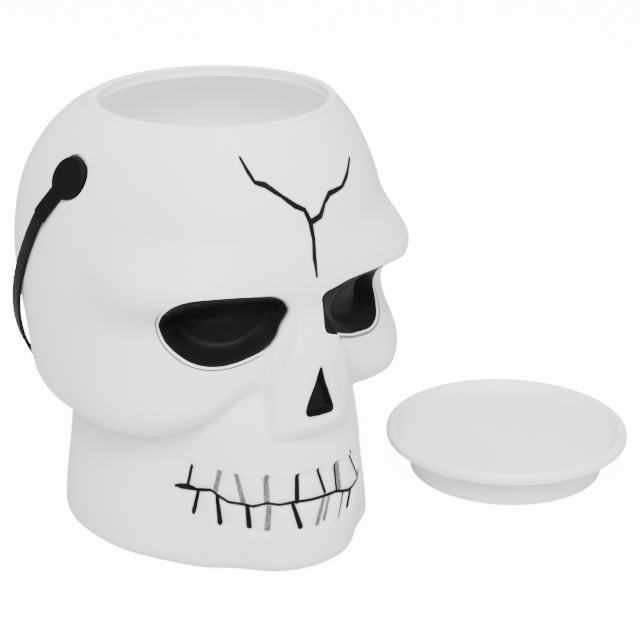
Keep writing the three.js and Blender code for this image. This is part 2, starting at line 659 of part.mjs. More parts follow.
// Lid: hollow tapered plug, wide rounded flange and a sunk, slightly domed panel, turned about its axis
function lidGeometry() {
  const plugTop = openingRadius - lidClearance;
  const plugFoot = plugTop - lidTaper;
  const top = lidPlugDepth + lidFlangeThickness;
  const panel = top - lidPanelDrop;
  const panelRadius = flangeRadius - lidRimWidth - lidPanelSlope;
  const round = lidEdgeRounding;
  const edge = quarterShares.map((share) => {
    const turn = (share * Math.PI) / 2;
    return [flangeRadius - round * (1 - Math.cos(turn)), top - round * (1 - Math.sin(turn))];
  });
  const crown = lidCrownShares.map(([out, up]) => [out * panelRadius, panel + up * lidCrown]);
  const outline = [
    [plugFoot - lidWall, 0], [plugFoot, 0], [plugTop, lidPlugDepth], [flangeRadius - round / 2, lidPlugDepth],
    [flangeRadius, lidPlugDepth + round / 2], [flangeRadius, top - round], ...edge,
    [flangeRadius - lidRimWidth, top], [panelRadius, panel], ...crown, [0, panel + lidCrown],
    [0, panel + lidCrown - lidWall], [plugTop - lidWall - round, panel - lidWall],
    [plugTop - lidWall, panel - lidWall - round],
  ];
  const points = [...outline, outline[0]].map(([r, z]) => new THREE.Vector2(r, z));
  const turning = new THREE.LatheGeometry(points, ringSides);
  turning.rotateX(Math.PI / 2);
  return toGeometry(toSolid(turning));
}

const whitePlastic = { color: 0xeceae6, roughness: 0.5, metalness: 0 };
const blackPlastic = { color: 0x161616, roughness: 0.45, metalness: 0 };

function named(name, geometry, finish) {
  const mesh = new THREE.Mesh(geometry, new THREE.MeshStandardMaterial(finish));
  mesh.name = name;
  return mesh;
}

const group = new THREE.Group();
group.add(named('skull_shell', skullShell(), whitePlastic));

const strap = named('handle_strap', handleStrap(), blackPlastic);
strap.position.set(0, -pivotForward, pivotHeight);
strap.rotation.x = handleRest;
group.add(strap);

const lid = named('lid', lidGeometry(), whitePlastic);
lid.position.set(lidSide, -lidForward, 0);
group.add(lid);

export default group;
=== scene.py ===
# %% [markdown]
# # A skull-shaped treat pail
#
# A moulded white pail in the shape of a skull, with a round opening on top, a black strap handle
# that swings on two studs, and a round lid that lies beside it. The eye sockets, the nose opening,
# the forehead crack and the tooth lines are black paint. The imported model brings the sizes, so
# everything here is built around it and never moves it.

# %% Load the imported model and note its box
import json
import math

import bpy
import numpy as np
from mathutils import Matrix, Vector


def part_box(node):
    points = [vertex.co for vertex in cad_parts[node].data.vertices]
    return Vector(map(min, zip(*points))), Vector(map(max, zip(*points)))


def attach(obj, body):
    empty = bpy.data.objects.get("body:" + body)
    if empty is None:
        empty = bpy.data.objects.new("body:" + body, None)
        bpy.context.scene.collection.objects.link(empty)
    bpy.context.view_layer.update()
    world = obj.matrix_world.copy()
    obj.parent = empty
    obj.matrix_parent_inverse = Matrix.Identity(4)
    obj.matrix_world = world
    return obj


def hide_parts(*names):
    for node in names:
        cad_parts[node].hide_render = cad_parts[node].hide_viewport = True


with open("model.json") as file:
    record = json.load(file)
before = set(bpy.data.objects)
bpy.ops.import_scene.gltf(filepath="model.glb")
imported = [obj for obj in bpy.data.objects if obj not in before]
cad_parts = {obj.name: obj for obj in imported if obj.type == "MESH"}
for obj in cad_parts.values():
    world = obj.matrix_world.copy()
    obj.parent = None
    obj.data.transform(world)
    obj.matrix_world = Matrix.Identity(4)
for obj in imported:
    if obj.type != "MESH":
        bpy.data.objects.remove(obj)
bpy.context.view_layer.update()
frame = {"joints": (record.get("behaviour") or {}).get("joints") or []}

shell_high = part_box("skull_shell")[1]
lid_low, lid_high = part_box("lid")
pivot = next(j["pos_m"] for j in frame["joints"] if j["name"] == "handle_swing")

# %% [markdown]
# ## Named sizes of the pail
#
# A moulding like this is drawn from a few sizes: its height, its opening, and how far the head and
# the jaw reach to the front, the sides and the back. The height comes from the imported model, and
# the others are real sizes in millimetres, turned into metres by one factor.

# %% Driving sizes
mm = 0.001
skull_height = shell_high.z
opening_radius = 46 * mm
lip_width = 2.3 * mm
rim_radius = opening_radius + lip_width
rim_rounding = 0.9 * mm
neck_depth = 4 * mm
wall_thickness = 2.2 * mm
floor_thickness = 2.4 * mm
foot_rounding = 5.5 * mm
crease_rounding = 2 * mm

head_half_width, head_front, head_back, head_widest_back = 76 * mm, 71 * mm, 80 * mm, 20 * mm
jaw_half_width, jaw_front, jaw_back, jaw_widest_back = 63 * mm, 76 * mm, 66.5 * mm, 8 * mm
jaw_hollow_depth = 5 * mm
chin_taper_depth = 4.4 * mm
chin_taper_height = 34 * mm

# %% Sections of the head and of the jaw, as shares of those sizes
# Each row: height, half width, front reach, back reach, how far back the widest line lies
head_shares = np.array([
    [0.22, 0.66, 0.62, 0.65, 0],
    [0.255, 0.8, 0.73, 0.775, 0],
    [0.29, 0.895, 0.825, 0.862, 0.1],
    [0.335, 0.947, 0.887, 0.912, 0.2],
    [0.39, 0.98, 0.922, 0.944, 0.35],
    [0.445, 0.987, 0.93, 0.956, 0.5],
    [0.5, 0.987, 0.94, 0.969, 0.7],
    [0.555, 0.993, 0.958, 0.981, 0.85],
    [0.61, 1, 0.979, 0.988, 0.95],
    [0.665, 1, 0.997, 0.994, 1],
    [0.72, 0.99, 0.997, 0.994, 1],
    [0.775, 0.967, 0.983, 0.981, 1],
    [0.83, 0.93, 0.946, 0.958, 0.95],
    [0.89, 0.868, 0.873, 0.893, 0.8],
    [0.945, 0.783, 0.782, 0.806, 0.5],
    [0.978, 0.704, 0.725, 0.719, 0.25],
    [1, rim_radius / head_half_width, rim_radius / head_front, rim_radius / head_back, 0],
])
# The jaw's rows end with the hollow beside the chin
jaw_shares = np.array([
    [0, 1.013, 0.99, 0.997, 1, 0.68],
    [0.085, 0.992, 0.997, 1, 1, 0.9],
    [0.165, 0.952, 0.991, 1, 1, 1],
    [0.22, 0.929, 0.974, 1, 1, 1],
    [0.28, 0.914, 0.951, 1, 1, 1],
    [0.335, 0.905, 0.914, 0.985, 1, 0.9],
    [0.445, 0.825, 0.816, 0.842, 1, 0.8],
    [0.555, 0.635, 0.658, 0.602, 1, 0.6],
])
# Degrees from the front, and the height of the cheek's underside there
crease_shares = np.array([
    [0, 0.444], [15, 0.428], [20, 0.403], [26, 0.372], [34, 0.339], [44, 0.311],
    [58, 0.281], [75, 0.272], [90, 0.264], [120, 0.228], [180, 0.228],
])
print("head sections", len(head_shares), "jaw sections", len(jaw_shares))

# %% [markdown]
# ## The skull's surface as one rule
#
# Every point of the outside lies straight out from the opening's axis, so the whole form is one
# distance: how far the skin is from the axis in a direction, at a height. An egg-shaped section
# gives the bare head and jaw, and ridges, hollows and grooves are added to it or taken from it.
# Sculpting by hand would be quicker to start, but a rule can be measured and changed exactly.

# %% Curves that the rule is made of
def ramp(start, end, value):
    """Rises smoothly from 0 at start to 1 at end."""
    share = np.clip((value - start) / (end - start), 0, 1)
    return share * share * (3 - 2 * share)


def hump(value, middle, spread):
    """A soft bump that is 1 at its middle."""
    return np.exp(-(((value - middle) / spread) ** 2))


def table_at(rows, place):
    """The rows of a table at any place, on a smooth curve through them."""
    spots, values = rows[:, 0], rows[:, 1:]
    place = np.clip(place, spots[0], spots[-1])
    slopes = np.gradient(values, spots, axis=0)
    i = np.clip(np.searchsorted(spots, place, side="right") - 1, 0, len(spots) - 2)
    gap = (spots[i + 1] - spots[i])[..., None]
    u = ((place - spots[i]) / (spots[i + 1] - spots[i]))[..., None]
    start = values[i] * (2 * u**3 - 3 * u**2 + 1) + slopes[i] * gap * (u**3 - 2 * u**2 + u)
    end = values[i + 1] * (3 * u**2 - 2 * u**3) + slopes[i + 1] * gap * (u**3 - u**2)
    return start + end


def egg_radius(angle, width, front, back, widest):
    """Distance to an egg-shaped section whose widest line lies behind the axis."""
    ahead, aside = np.cos(angle), np.sin(angle)
    before = width * ahead > -widest * np.abs(aside)
    reach = np.where(before, front + widest, back - widest)
    a = (aside / width) ** 2 + (ahead / reach) ** 2
    b = ahead * widest / reach**2
    return (np.sqrt(b * b + a * (1 - (widest / reach) ** 2)) - b) / a


# %% Sizes of the brow, the cheekbones, the temples and the undercut
# A rise or a depth is a length. "Sides" say between which degrees from the front a form comes or goes,
# "heights" say it in shares of the skull's height, and a "bump" gives its middle and its spread.
brow_rise, brow_middle_rise = 7.2 * mm, 2.2 * mm
brow_swell_sides, brow_end_sides, brow_top_heights = (5, 42), (82, 52), (0.794, 0.672)
brow_foot, brow_flank, brow_outer_sides = 0.589, 0.667, (50, 64)
brow_foot_fall, brow_flank_rise = 0.078, 0.011
cheek_rise, cheek_height, cheek_spread = 5.2 * mm, 0.406 * skull_height, 15 * mm
cheek_front_sides, cheek_back_sides = (18, 48), (92, 62)
temple_depth, temple_height, temple_spread = 4 * mm, 0.567 * skull_height, 9 * mm
temple_bump, jaw_hollow_bump, chin_bump = (54, 13), (48, 20), (26, 11)
jaw_end_heights = (0.433, 0.611)
undercut_depth, undercut_front, undercut_back = 20 * mm, 15 * mm, 28 * mm
undercut_start_sides, undercut_growth_sides, undercut_power = (12, 30), (60, 120), 2.2


# %% Bare head and jaw
def head_radius(angle, height):
    sizes = table_at(head_shares, height / skull_height)
    scale = np.array([head_half_width, head_front, head_back, head_widest_back])
    return egg_radius(angle, *np.moveaxis(sizes * scale, -1, 0))


def jaw_radius(angle, height):
    degrees = np.abs(np.degrees(angle))
    sizes = table_at(jaw_shares, height / skull_height)
    scale = np.array([jaw_half_width, jaw_front, jaw_back, jaw_widest_back])
    egg = egg_radius(angle, *np.moveaxis(sizes[..., :4] * scale, -1, 0))
    hollow = sizes[..., 4] * jaw_hollow_depth * hump(degrees, *jaw_hollow_bump)
    chin = chin_taper_depth * hump(degrees, *chin_bump) * ramp(chin_taper_height, 0, height)
    return egg - hollow - chin - jaw_half_width * ramp(*jaw_end_heights, height / skull_height)


def face_relief(degrees, height):
    share = height / skull_height
    away = ramp(*brow_outer_sides, degrees)
    foot, flank = brow_foot - brow_foot_fall * away, brow_flank + brow_flank_rise * away
    brow = (brow_middle_rise + brow_rise * ramp(*brow_swell_sides, degrees)) * ramp(*brow_end_sides, degrees)
    brow = brow * ramp(*brow_top_heights, share) * ramp(foot, flank, share)
    cheek = cheek_rise * ramp(*cheek_front_sides, degrees) * ramp(*cheek_back_sides, degrees)
    cheek = cheek * hump(height, cheek_height, cheek_spread)
    temple = temple_depth * hump(degrees, *temple_bump) * hump(height, temple_height, temple_spread)
    return brow + cheek - temple


def form_radius(angle, height):
    degrees = np.abs(np.degrees(angle))
    crease = np.interp(degrees, *crease_shares.T) * skull_height
    tall = undercut_front + (undercut_back - undercut_front) * ramp(*undercut_growth_sides, degrees)
    under = np.clip((crease + tall - height) / tall, 0, None)
    undercut = undercut_depth * under**undercut_power * ramp(*undercut_start_sides, degrees)
    head = head_radius(angle, height) + face_relief(degrees, height) - undercut
    jaw = jaw_radius(angle, height)
    share = np.clip(0.5 + 0.5 * (head - jaw) / crease_rounding, 0, 1)
    return jaw + (head - jaw) * share + crease_rounding * share * (1 - share)


def side_reach(height):
    """How far the shell's side is from the middle at a height."""
    return float(form_radius(np.array(np.pi / 2), np.array(height)))


print("width at the cheeks", round(2 * side_reach(cheek_height), 4))

# %% [markdown]
# ## Outlines and lines on the face
#
# The sockets, the nose opening and the mouth are closed outlines drawn flat on the face, in
# millimetres across and up. The tooth lines and the crack are open lines. For each of them the
# rule needs one thing: how far a point is from the edge or from the line. That distance sinks the
# surface, and the paint uses it again later, so paint and relief always line up.

# %% Distances to closed outlines and to lines
def closed_outline(points, steps=6):
    """A smooth closed curve through points."""
    p = np.array(points, float)
    before, after, beyond = np.roll(p, 1, 0), np.roll(p, -1, 0), np.roll(p, -2, 0)
    spans = []
    for u in np.arange(steps) / steps:
        bend = (2 * before - 5 * p + 4 * after - beyond) * u**2
        twist = (3 * p - before - 3 * after + beyond) * u**3
        spans.append((2 * p + (after - before) * u + bend + twist) / 2)
    return np.stack(spans, 1).reshape(-1, 2)


def span_distance(x, z, start, end):
    dx, dz = end[0] - start[0], end[1] - start[1]
    share = np.clip(((x - start[0]) * dx + (z - start[1]) * dz) / (dx * dx + dz * dz), 0, 1)
    return np.hypot(x - start[0] - share * dx, z - start[1] - share * dz), share


def depth_inside(outline, x, z):
    """Distance to the outline's edge, positive inside it."""
    nearest = np.full(np.shape(x), np.inf)
    inside = np.zeros(np.shape(x), bool)
    for start, end in zip(np.roll(outline, 1, 0), outline):
        nearest = np.minimum(nearest, span_distance(x, z, start, end)[0])
        rise = end[1] - start[1]
        crosses = (start[1] > z) != (end[1] > z)
        here = end[0] + (end[0] - start[0]) * (z - end[1]) / (rise if rise else 1)
        inside ^= crosses & (x < here)
    return np.where(inside, nearest, -nearest)


def stroke_depth(start, end, wide, wide_end, x, z):
    """How deep a point lies inside a straight stroke whose half width runs from one value to another."""
    away, share = span_distance(x, z, start, end)
    return wide + (wide_end - wide) * share - away


# %% Outlines of the sockets, the nose opening and the mouth
eye_middle_deg = 30
eye_reach = head_front * math.radians(24.5)
eye_height, eye_half_height = 0.5822 * skull_height, 16.8 * mm
eye_outline_shares = [
    (0.94, -0.12), (0.88, 0.15), (0.78, 0.42), (0.6, 0.74), (0.38, 0.93), (0.08, 1.02), (-0.3, 1),
    (-0.66, 0.91), (-0.87, 0.74), (-0.95, 0.42), (-0.93, 0.06), (-0.8, -0.32), (-0.58, -0.58),
    (-0.28, -0.84), (0.13, -0.93), (0.53, -0.79), (0.82, -0.46),
]
# The black paint has its own outlines: it stays inside the left socket, and runs over the edge of the
# right one towards the nose
foot_paint_shares = [(0.11, -0.87), (0.31, -0.83), (0.5, -0.72), (0.69, -0.53), (0.83, -0.33), (0.9, -0.06)]
left_paint_shares = foot_paint_shares + [
    (0.85, 0.21), (0.66, 0.65), (0.53, 0.86), (0.36, 0.98), (0.12, 1.02), (-0.17, 1.01), (-0.43, 0.96),
    (-0.62, 0.89), (-0.77, 0.7), (-0.87, 0.44), (-0.86, 0.21), (-0.79, -0.06), (-0.73, -0.26),
    (-0.6, -0.48), (-0.38, -0.69), (-0.12, -0.83),
]
right_paint_shares = foot_paint_shares + [
    (0.82, 0.16), (0.66, 0.46), (0.5, 0.64), (0.32, 0.78), (0.1, 0.87), (-0.17, 0.94), (-0.43, 0.95),
    (-0.71, 0.91), (-0.92, 0.81), (-1.08, 0.74), (-1.13, 0.6), (-1.1, 0.37), (-1.09, 0.12), (-1.11, -0.14),
    (-1.08, -0.26), (-0.93, -0.36), (-0.76, -0.5), (-0.56, -0.63), (-0.36, -0.74), (-0.12, -0.82),
]


def eye_outline_from(shares):
    return closed_outline([(u * eye_reach, eye_height + v * eye_half_height) for u, v in shares])


def even_outline(half_shares, across, up, foot=0.0):
    """A closed outline from its right half."""
    right = [(u * across, foot + v * up) for u, v in half_shares]
    return closed_outline(right + [(-x, z) for x, z in right[-2:0:-1]])


eye_outline = eye_outline_from(eye_outline_shares)
left_paint, right_paint = eye_outline_from(left_paint_shares), eye_outline_from(right_paint_shares)

nose_hole_height, nose_hole_tall, nose_hole_half = 0.378 * skull_height, 20.3 * mm, 5.6 * mm
nose_half_shares = [(0, 1), (0.43, 0.63), (1, 0.16), (0.93, 0.02), (0.45, 0), (0, 0)]
nose_outline = even_outline(nose_half_shares, nose_hole_half, nose_hole_tall, nose_hole_height)

mouth_half_angle, mouth_height = math.radians(56), 0.266 * skull_height
mouth_reach = jaw_front * mouth_half_angle
mouth_half_shares = [
    (0, 0.94), (0.16, 0.927), (0.34, 0.925), (0.5, 0.943), (0.66, 0.98), (0.82, 1), (0.94, 0.965),
    (1, 0.84), (0.93, 0.67), (0.81, 0.54), (0.67, 0.465), (0.52, 0.4), (0.34, 0.345), (0.16, 0.3),
    (0, 0.28),
]
mouth_outline = even_outline(mouth_half_shares, mouth_reach, mouth_height)
print("outline points", len(eye_outline), len(nose_outline), len(mouth_outline))

# %% Tooth lines and the forehead crack
# The line between the rows of teeth: place in shares of the mouth, half width in millimetres
bite_line = [
    (-0.9, 0.7, 0.3), (-0.86, 0.705, 0.95), (-0.79, 0.715, 1.05), (-0.73, 0.71, 0.5), (-0.63, 0.735, 0.4),
    (-0.58, 0.7, 0.45), (-0.52, 0.66, 0.4), (-0.43, 0.655, 0.42), (-0.38, 0.64, 0.4), (-0.3, 0.67, 0.38),
    (-0.23, 0.65, 0.36), (-0.15, 0.66, 0.4), (-0.05, 0.65, 0.42), (0.05, 0.65, 0.45), (0.14, 0.645, 0.4),
    (0.2, 0.612, 0.4), (0.25, 0.59, 0.42), (0.31, 0.585, 0.42), (0.37, 0.6, 0.45), (0.43, 0.625, 0.4),
    (0.52, 0.67, 0.4), (0.63, 0.72, 0.42), (0.79, 0.725, 0.8), (0.9, 0.7, 0.3),
]
# Lines between teeth, with a crisp or a soft edge of paint: across and up at the top, across and up at
# the foot, and the half widths there in millimetres
crisp_strokes = [
    (-0.77, 0.9, -0.8, 0.74, 0.6, 0.7), (-0.12, 0.89, -0.13, 0.66, 0.7, 0.85),
    (0.01, 0.9, 0.05, 0.68, 0.4, 0.5), (0.14, 0.91, 0.14, 0.64, 0.38, 0.42),
    (0.28, 0.93, 0.4, 0.62, 0.3, 0.5), (0.62, 0.92, 0.65, 0.74, 0.45, 0.6),
    (0.78, 0.91, 0.8, 0.74, 0.4, 0.55),
    (-0.72, 0.7, -0.75, 0.53, 0.7, 0.9), (-0.59, 0.7, -0.575, 0.475, 0.65, 1.05),
    (-0.41, 0.64, -0.4, 0.455, 0.8, 0.95), (-0.155, 0.64, -0.115, 0.43, 0.6, 0.95),
    (0.195, 0.6, 0.15, 0.4, 0.35, 0.1), (0.275, 0.575, 0.24, 0.455, 0.9, 1.0),
    (0.56, 0.69, 0.57, 0.5, 0.75, 0.9), (0.72, 0.7, 0.74, 0.54, 0.6, 0.75),
]
soft_strokes = [
    (-0.57, 0.91, -0.6, 0.74, 0.8, 0.9), (-0.47, 0.91, -0.43, 0.66, 0.55, 0.85),
    (-0.3, 0.91, -0.3, 0.67, 0.75, 0.95), (0.165, 0.88, 0.165, 0.67, 0.8, 1.0),
    (0.48, 0.92, 0.5, 0.69, 0.7, 0.85), (-0.29, 0.63, -0.3, 0.44, 0.75, 0.95),
    (0.04, 0.64, -0.01, 0.42, 0.6, 0.7), (0.075, 0.62, 0.035, 0.44, 0.4, 0.5),
    (0.42, 0.65, 0.41, 0.46, 0.7, 0.85),
]
# The crack's points: degrees from the front, shares of the height, half width in millimetres
crack_lines = [
    [(-21.7, 0.944, 0.35), (-19.4, 0.918, 0.7), (-17.4, 0.897, 0.55), (-13.8, 0.89, 0.9), (-8.7, 0.866, 0.6),
     (-4.6, 0.844, 0.95), (-1.4, 0.833, 0.7), (0, 0.805, 0.95)],
    [(29, 0.9, 0.35), (22, 0.872, 0.6), (17.2, 0.856, 0.5), (10.3, 0.852, 0.85), (7, 0.837, 0.55),
     (4.3, 0.814, 0.9), (0, 0.805, 0.95)],
    [(0, 0.805, 1.0), (0.3, 0.772, 0.65), (-0.3, 0.734, 0.75), (-0.1, 0.692, 0.25)],
]


def ink_depths(across, height):
    """Depths inside the crisp and the soft lines, with across measured along the jaw."""

    def stroke(u0, v0, u1, v1, wide, end, along=mouth_reach, up=mouth_height):
        return stroke_depth((u0 * along, v0 * up), (u1 * along, v1 * up), wide * mm, end * mm, across, height)

    bite = [stroke(u0, v0, u1, v1, w0, w1) for (u0, v0, w0), (u1, v1, w1) in zip(bite_line, bite_line[1:])]
    crack = [stroke(math.radians(d0), h0, math.radians(d1), h1, w0, w1, jaw_front, skull_height)
             for line in crack_lines for (d0, h0, w0), (d1, h1, w1) in zip(line, line[1:])]
    crisp = np.max([stroke(*row) for row in crisp_strokes] + bite + crack, 0)
    soft = np.max([stroke(*row) for row in soft_strokes], 0)
    return crisp, np.maximum(soft, crisp)


print("tooth lines", len(bite_line) - 1 + len(crisp_strokes + soft_strokes), "cracks", len(crack_lines))

# %% The whole surface rule, with the paint's distances
eye_depth, eye_wall = 9 * mm, 8 * mm
nose_top_half, nose_foot_half, nose_widening_heights = 6 * mm, 17 * mm, (0.633, 0.444)
plinth_foot, plinth_top_heights = 0.322 * skull_height, (0.667, 0.533)
ridge_foot_heights, ridge_top_heights = (0.311, 0.367), (0.644, 0.5)
nose_edge, plinth_rise, nose_rise, ridge_half = 3.2 * mm, 2.2 * mm, 6.6 * mm, 19 * mm
nose_pit, nose_pit_wall = 3 * mm, 1.8 * mm
ring_rise, ring_width, ring_edge = 1 * mm, 6 * mm, 2.6 * mm
mouth_depth, mouth_edge = 1.8 * mm, 3 * mm
crown_rise, crown_run = 1.4 * mm, 3 * mm
groove_depth, groove_edge = 0.6 * mm, 0.5 * mm
face_edge_deg = 72


def nose_relief(x, height, hole):
    share = height / skull_height
    half = nose_top_half + (nose_foot_half - nose_top_half) * ramp(*nose_widening_heights, share)
    edge = np.minimum(half - np.abs(x), height - plinth_foot)
    plinth = ramp(-nose_edge / 3, 2 * nose_edge / 3, edge) * ramp(*plinth_top_heights, share)
    across = np.sqrt(np.clip(1 - (x / ridge_half) ** 2, 0, 1))
    ridge = across * ramp(*ridge_foot_heights, share) * ramp(*ridge_top_heights, share)
    ring = ring_rise * ramp(-ring_width, ring_edge - ring_width, hole) * ramp(ring_rise / 2, -ring_rise, hole)
    return plinth_rise * plinth + nose_rise * ridge * plinth + ring - nose_pit * ramp(0, nose_pit_wall, hole)


def skin(angle, height):
    """Distance of the outer skin from the axis, and the depths of each painted region."""
    form, degrees, across = form_radius(angle, height), np.degrees(angle), jaw_front * angle
    x, facing = form * np.sin(angle), np.abs(degrees) < face_edge_deg

    def inside(outline, place):
        return np.where(facing, depth_inside(outline, place, height), -1)

    eye_across = head_front * np.radians(np.abs(degrees) - eye_middle_deg)
    hole, eye, mouth = inside(nose_outline, x), inside(eye_outline, eye_across), inside(mouth_outline, across)
    crisp, soft = (np.where(facing, ink, -1) for ink in ink_depths(across, height))
    nose = np.where(facing & (np.abs(x) < ridge_half), nose_relief(x, height, hole), 0)
    crown = crown_rise * ramp(0, crown_run, -soft) * ramp(0, mouth_edge, mouth)
    band = mouth_depth * ramp(0, mouth_edge, mouth)
    groove = groove_depth * ramp(-groove_edge / 2, groove_edge, crisp)
    low = np.clip((foot_rounding - height) / foot_rounding, 0, 1)
    foot = foot_rounding * (1 - np.sqrt(1 - low * low))
    radius = form + nose - eye_depth * ramp(0, eye_wall, eye) - band + crown - groove - foot
    painted = np.where(degrees < 0, inside(left_paint, eye_across), inside(right_paint, eye_across))
    return radius, {"eye": painted, "nose": hole, "line": crisp, "mist": soft}


# %% [markdown]
# ## The shell as a mesh
#
# A grid of cells wraps the outside, then rings roll over the lip and go down the inside to the
# floor, so the shell is one closed wall with a real inside. A grid fine enough for the thin lines of
# the teeth would have a million faces. So only the cells beside a painted edge are split, four by
# four, and their plain neighbours take the extra points into their own edges, which leaves no seam.

# %% Where the columns and rows of the outside lie
def spaced(stops):
    """Places from stops given as (place, number of steps to the next one)."""
    runs = [np.linspace(a, b, n, endpoint=False) for (a, n), (b, _) in zip(stops[:-1], stops[1:])]
    return np.concatenate(runs + [[stops[-1][0]]])


foot_steps = 8
# Degrees from the front, and millimetres up, each with the number of steps to the next
column_stops = [(-180, 30), (-96, 26), (-58, 132), (58, 26), (96, 30), (180, 0)]
height_stops = [
    (0, foot_steps), (foot_rounding / mm, 8), (13, 36), (50, 32), (87, 34), (123, 44), (172, 8), (178.6, 0),
]
columns, heights = np.radians(spaced(column_stops)), spaced(height_stops) * mm
foot_turn = np.linspace(0, np.pi / 2, foot_steps, endpoint=False)
heights[:foot_steps] = foot_rounding * (1 - np.cos(foot_turn))
around_count, cell_rows = len(columns) - 1, len(heights) - 1
print("cells", around_count, "by", cell_rows)

# %% Choose the cells to split, and number the points in use
split = 4
edge_reach, eye_edge_reach = 1.4 * mm, 1.8 * mm
middle_columns, middle_heights = (columns[:-1] + columns[1:]) / 2, (heights[:-1] + heights[1:]) / 2
middle_depths = skin(*np.meshgrid(middle_columns, middle_heights))[1]
split_cells = (middle_depths["line"] > -edge_reach) | (middle_depths["mist"] > -edge_reach)
split_cells |= (np.abs(middle_depths["eye"]) < eye_edge_reach) | (np.abs(middle_depths["nose"]) < edge_reach)

fine_around = around_count * split
in_use = np.zeros((cell_rows * split + 1, fine_around), bool)
in_use[::split, ::split] = True
for row, column in np.argwhere(split_cells):
    low, left = row * split, column * split
    in_use[low:low + split + 1, np.arange(left, left + split + 1) % fine_around] = True
number = np.cumsum(in_use).reshape(in_use.shape) - 1
used_rows, used_columns = np.nonzero(in_use)
angles = np.interp(used_columns / split, np.arange(len(columns)), columns)
levels = np.interp(used_rows / split, np.arange(len(heights)), heights)
radii, depths = skin(angles, levels)
print("split cells", int(split_cells.sum()), "outside points", len(angles))


# %% Faces of the outside
def cell_edge(row, column, row_step, column_step):
    """Numbers of the points in use along one edge of a cell, without its last corner."""
    spots = [(row + row_step * i, (column + column_step * i) % fine_around) for i in range(split)]
    return [int(number[spot]) for spot in spots if in_use[spot]]


faces = []
for row, column in np.ndindex(cell_rows, around_count):
    low, left = row * split, column * split
    if split_cells[row, column]:
        for i, j in np.ndindex(split, split):
            a, b = (left + j) % fine_around, (left + j + 1) % fine_around
            corners = [(low + i, a), (low + i, b), (low + i + 1, b), (low + i + 1, a)]
            faces.append(tuple(int(number[spot]) for spot in corners))
    else:
        faces.append((*cell_edge(low, left, 0, 1), *cell_edge(low, left + split, 1, 0),
                      *cell_edge(low + split, left + split, 0, -1), *cell_edge(low + split, left, -1, 0)))
print("outside faces", len(faces))


# %% Rings of the lip, the neck and the inside
def ring_points(turns, reach, height):
    return np.stack([reach * np.sin(turns), -reach * np.cos(turns), np.broadcast_to(height, turns.shape)], -1)


outer = ring_points(angles, radii, levels)
ring_angles = columns[:-1]
top_ring = number[-1, ::split]
lip_outer = radii[top_ring]
lip_steps = 4
lip_turn = np.linspace(0, np.pi / 2, lip_steps + 1)
top_edge = skull_height - rim_rounding
lip = []
for turn in lip_turn[1:]:
    drawn = (lip_outer - rim_radius + rim_rounding) * (1 - np.cos(turn))
    lip_height = heights[-1] + (skull_height - heights[-1]) * np.sin(turn)
    lip.append(ring_points(ring_angles, lip_outer - drawn, lip_height))
for turn in lip_turn:
    lip_radius = opening_radius + rim_rounding * (1 - np.sin(turn))
    lip.append(ring_points(ring_angles, lip_radius, top_edge + rim_rounding * np.cos(turn)))

# The inside has every second column, and keeps its wall at the thinnest of three levels
inner_share, inner_rows, level_shares = 2, 60, np.array([-0.4, 0, 0.4])
inner_angles = ring_angles[::inner_share]
inner_heights = np.linspace(skull_height - neck_depth, floor_thickness, inner_rows + 1)
near = (inner_heights[0] - inner_heights[1]) * level_shares
inner = [ring_points(inner_angles, opening_radius, inner_heights[0])]
for height in inner_heights[1:]:
    beside = [skin(inner_angles, np.full(inner_angles.shape, max(height + step, 0)))[0] for step in near]
    inner.append(ring_points(inner_angles, np.min(beside, 0) - wall_thickness, height))
print("lip rings", len(lip), "inner rings", len(inner))


# %% Faces from rings of points, and objects from data
def ring_numbers(first, count, rings):
    """Point numbers of rings that follow one another."""
    return [first + k * count + np.arange(count) for k in range(rings)]


def ring_quads(rings):
    """Faces between each ring and the next."""
    quads = [np.stack([a, np.roll(a, -1), np.roll(b, -1), b], -1) for a, b in zip(rings[:-1], rings[1:])]
    return [tuple(quad) for quad in np.concatenate(quads).tolist()]


def drum_faces(rings, start, end):
    """Faces of a closed body of rings, with one point at its start and one at its end."""
    made, first, last, count = ring_quads(rings), rings[0].tolist(), rings[-1].tolist(), len(rings[0])
    for k in range(count):
        made += [(start, first[k + 1 - count], first[k]), (end, last[k], last[k + 1 - count])]
    return made


def placed(name, data):
    made = bpy.data.objects.new(name, data)
    bpy.context.scene.collection.objects.link(made)
    return made


def mesh_object(name, spots, made):
    mesh = bpy.data.meshes.new(name)
    mesh.from_pydata(spots, [], made)
    mesh.update()
    return placed(name, mesh)


# %% Join everything into one closed mesh
points = np.concatenate([outer, *lip, *inner, [[0, 0, 0], [0, 0, floor_thickness]]])
lip_first, inner_first = len(outer), len(outer) + len(lip) * around_count
lip_rings = [top_ring] + ring_numbers(lip_first, around_count, len(lip))
inner_count = len(inner_angles)
inner_rings = ring_numbers(inner_first, inner_count, len(inner))
faces += ring_quads(lip_rings) + ring_quads(inner_rings)
for k in range(inner_count):
    edge_above = [int(lip_rings[-1][(k * inner_share + i) % around_count]) for i in range(inner_share + 1)]
    faces.append((*edge_above, int(inner_rings[0][(k + 1) % inner_count]), int(inner_rings[0][k])))
base_point, floor_point = len(points) - 2, len(points) - 1
foot_ring, last_ring = number[0, ::split].tolist(), inner_rings[-1].tolist()
faces += [(base_point, b, a) for a, b in zip(foot_ring, foot_ring[1:] + foot_ring[:1])]
faces += [(floor_point, a, b) for a, b in zip(last_ring, last_ring[1:] + last_ring[:1])]
shell = mesh_object("skull_skin", points.tolist(), faces)
print("shell points", len(points), "faces", len(faces))

# %% [markdown]
# ## Depths as attributes
#
# The distances that sank the surface are stored on the points of the mesh. A distance changes
# evenly from point to point, so the shader can cut a crisp edge of paint between them, much finer
# than the mesh itself. Each value is shifted by a margin, so that a point without one counts as bare.
# Two more attributes say how far round a point lies, and whether it is on the inside.

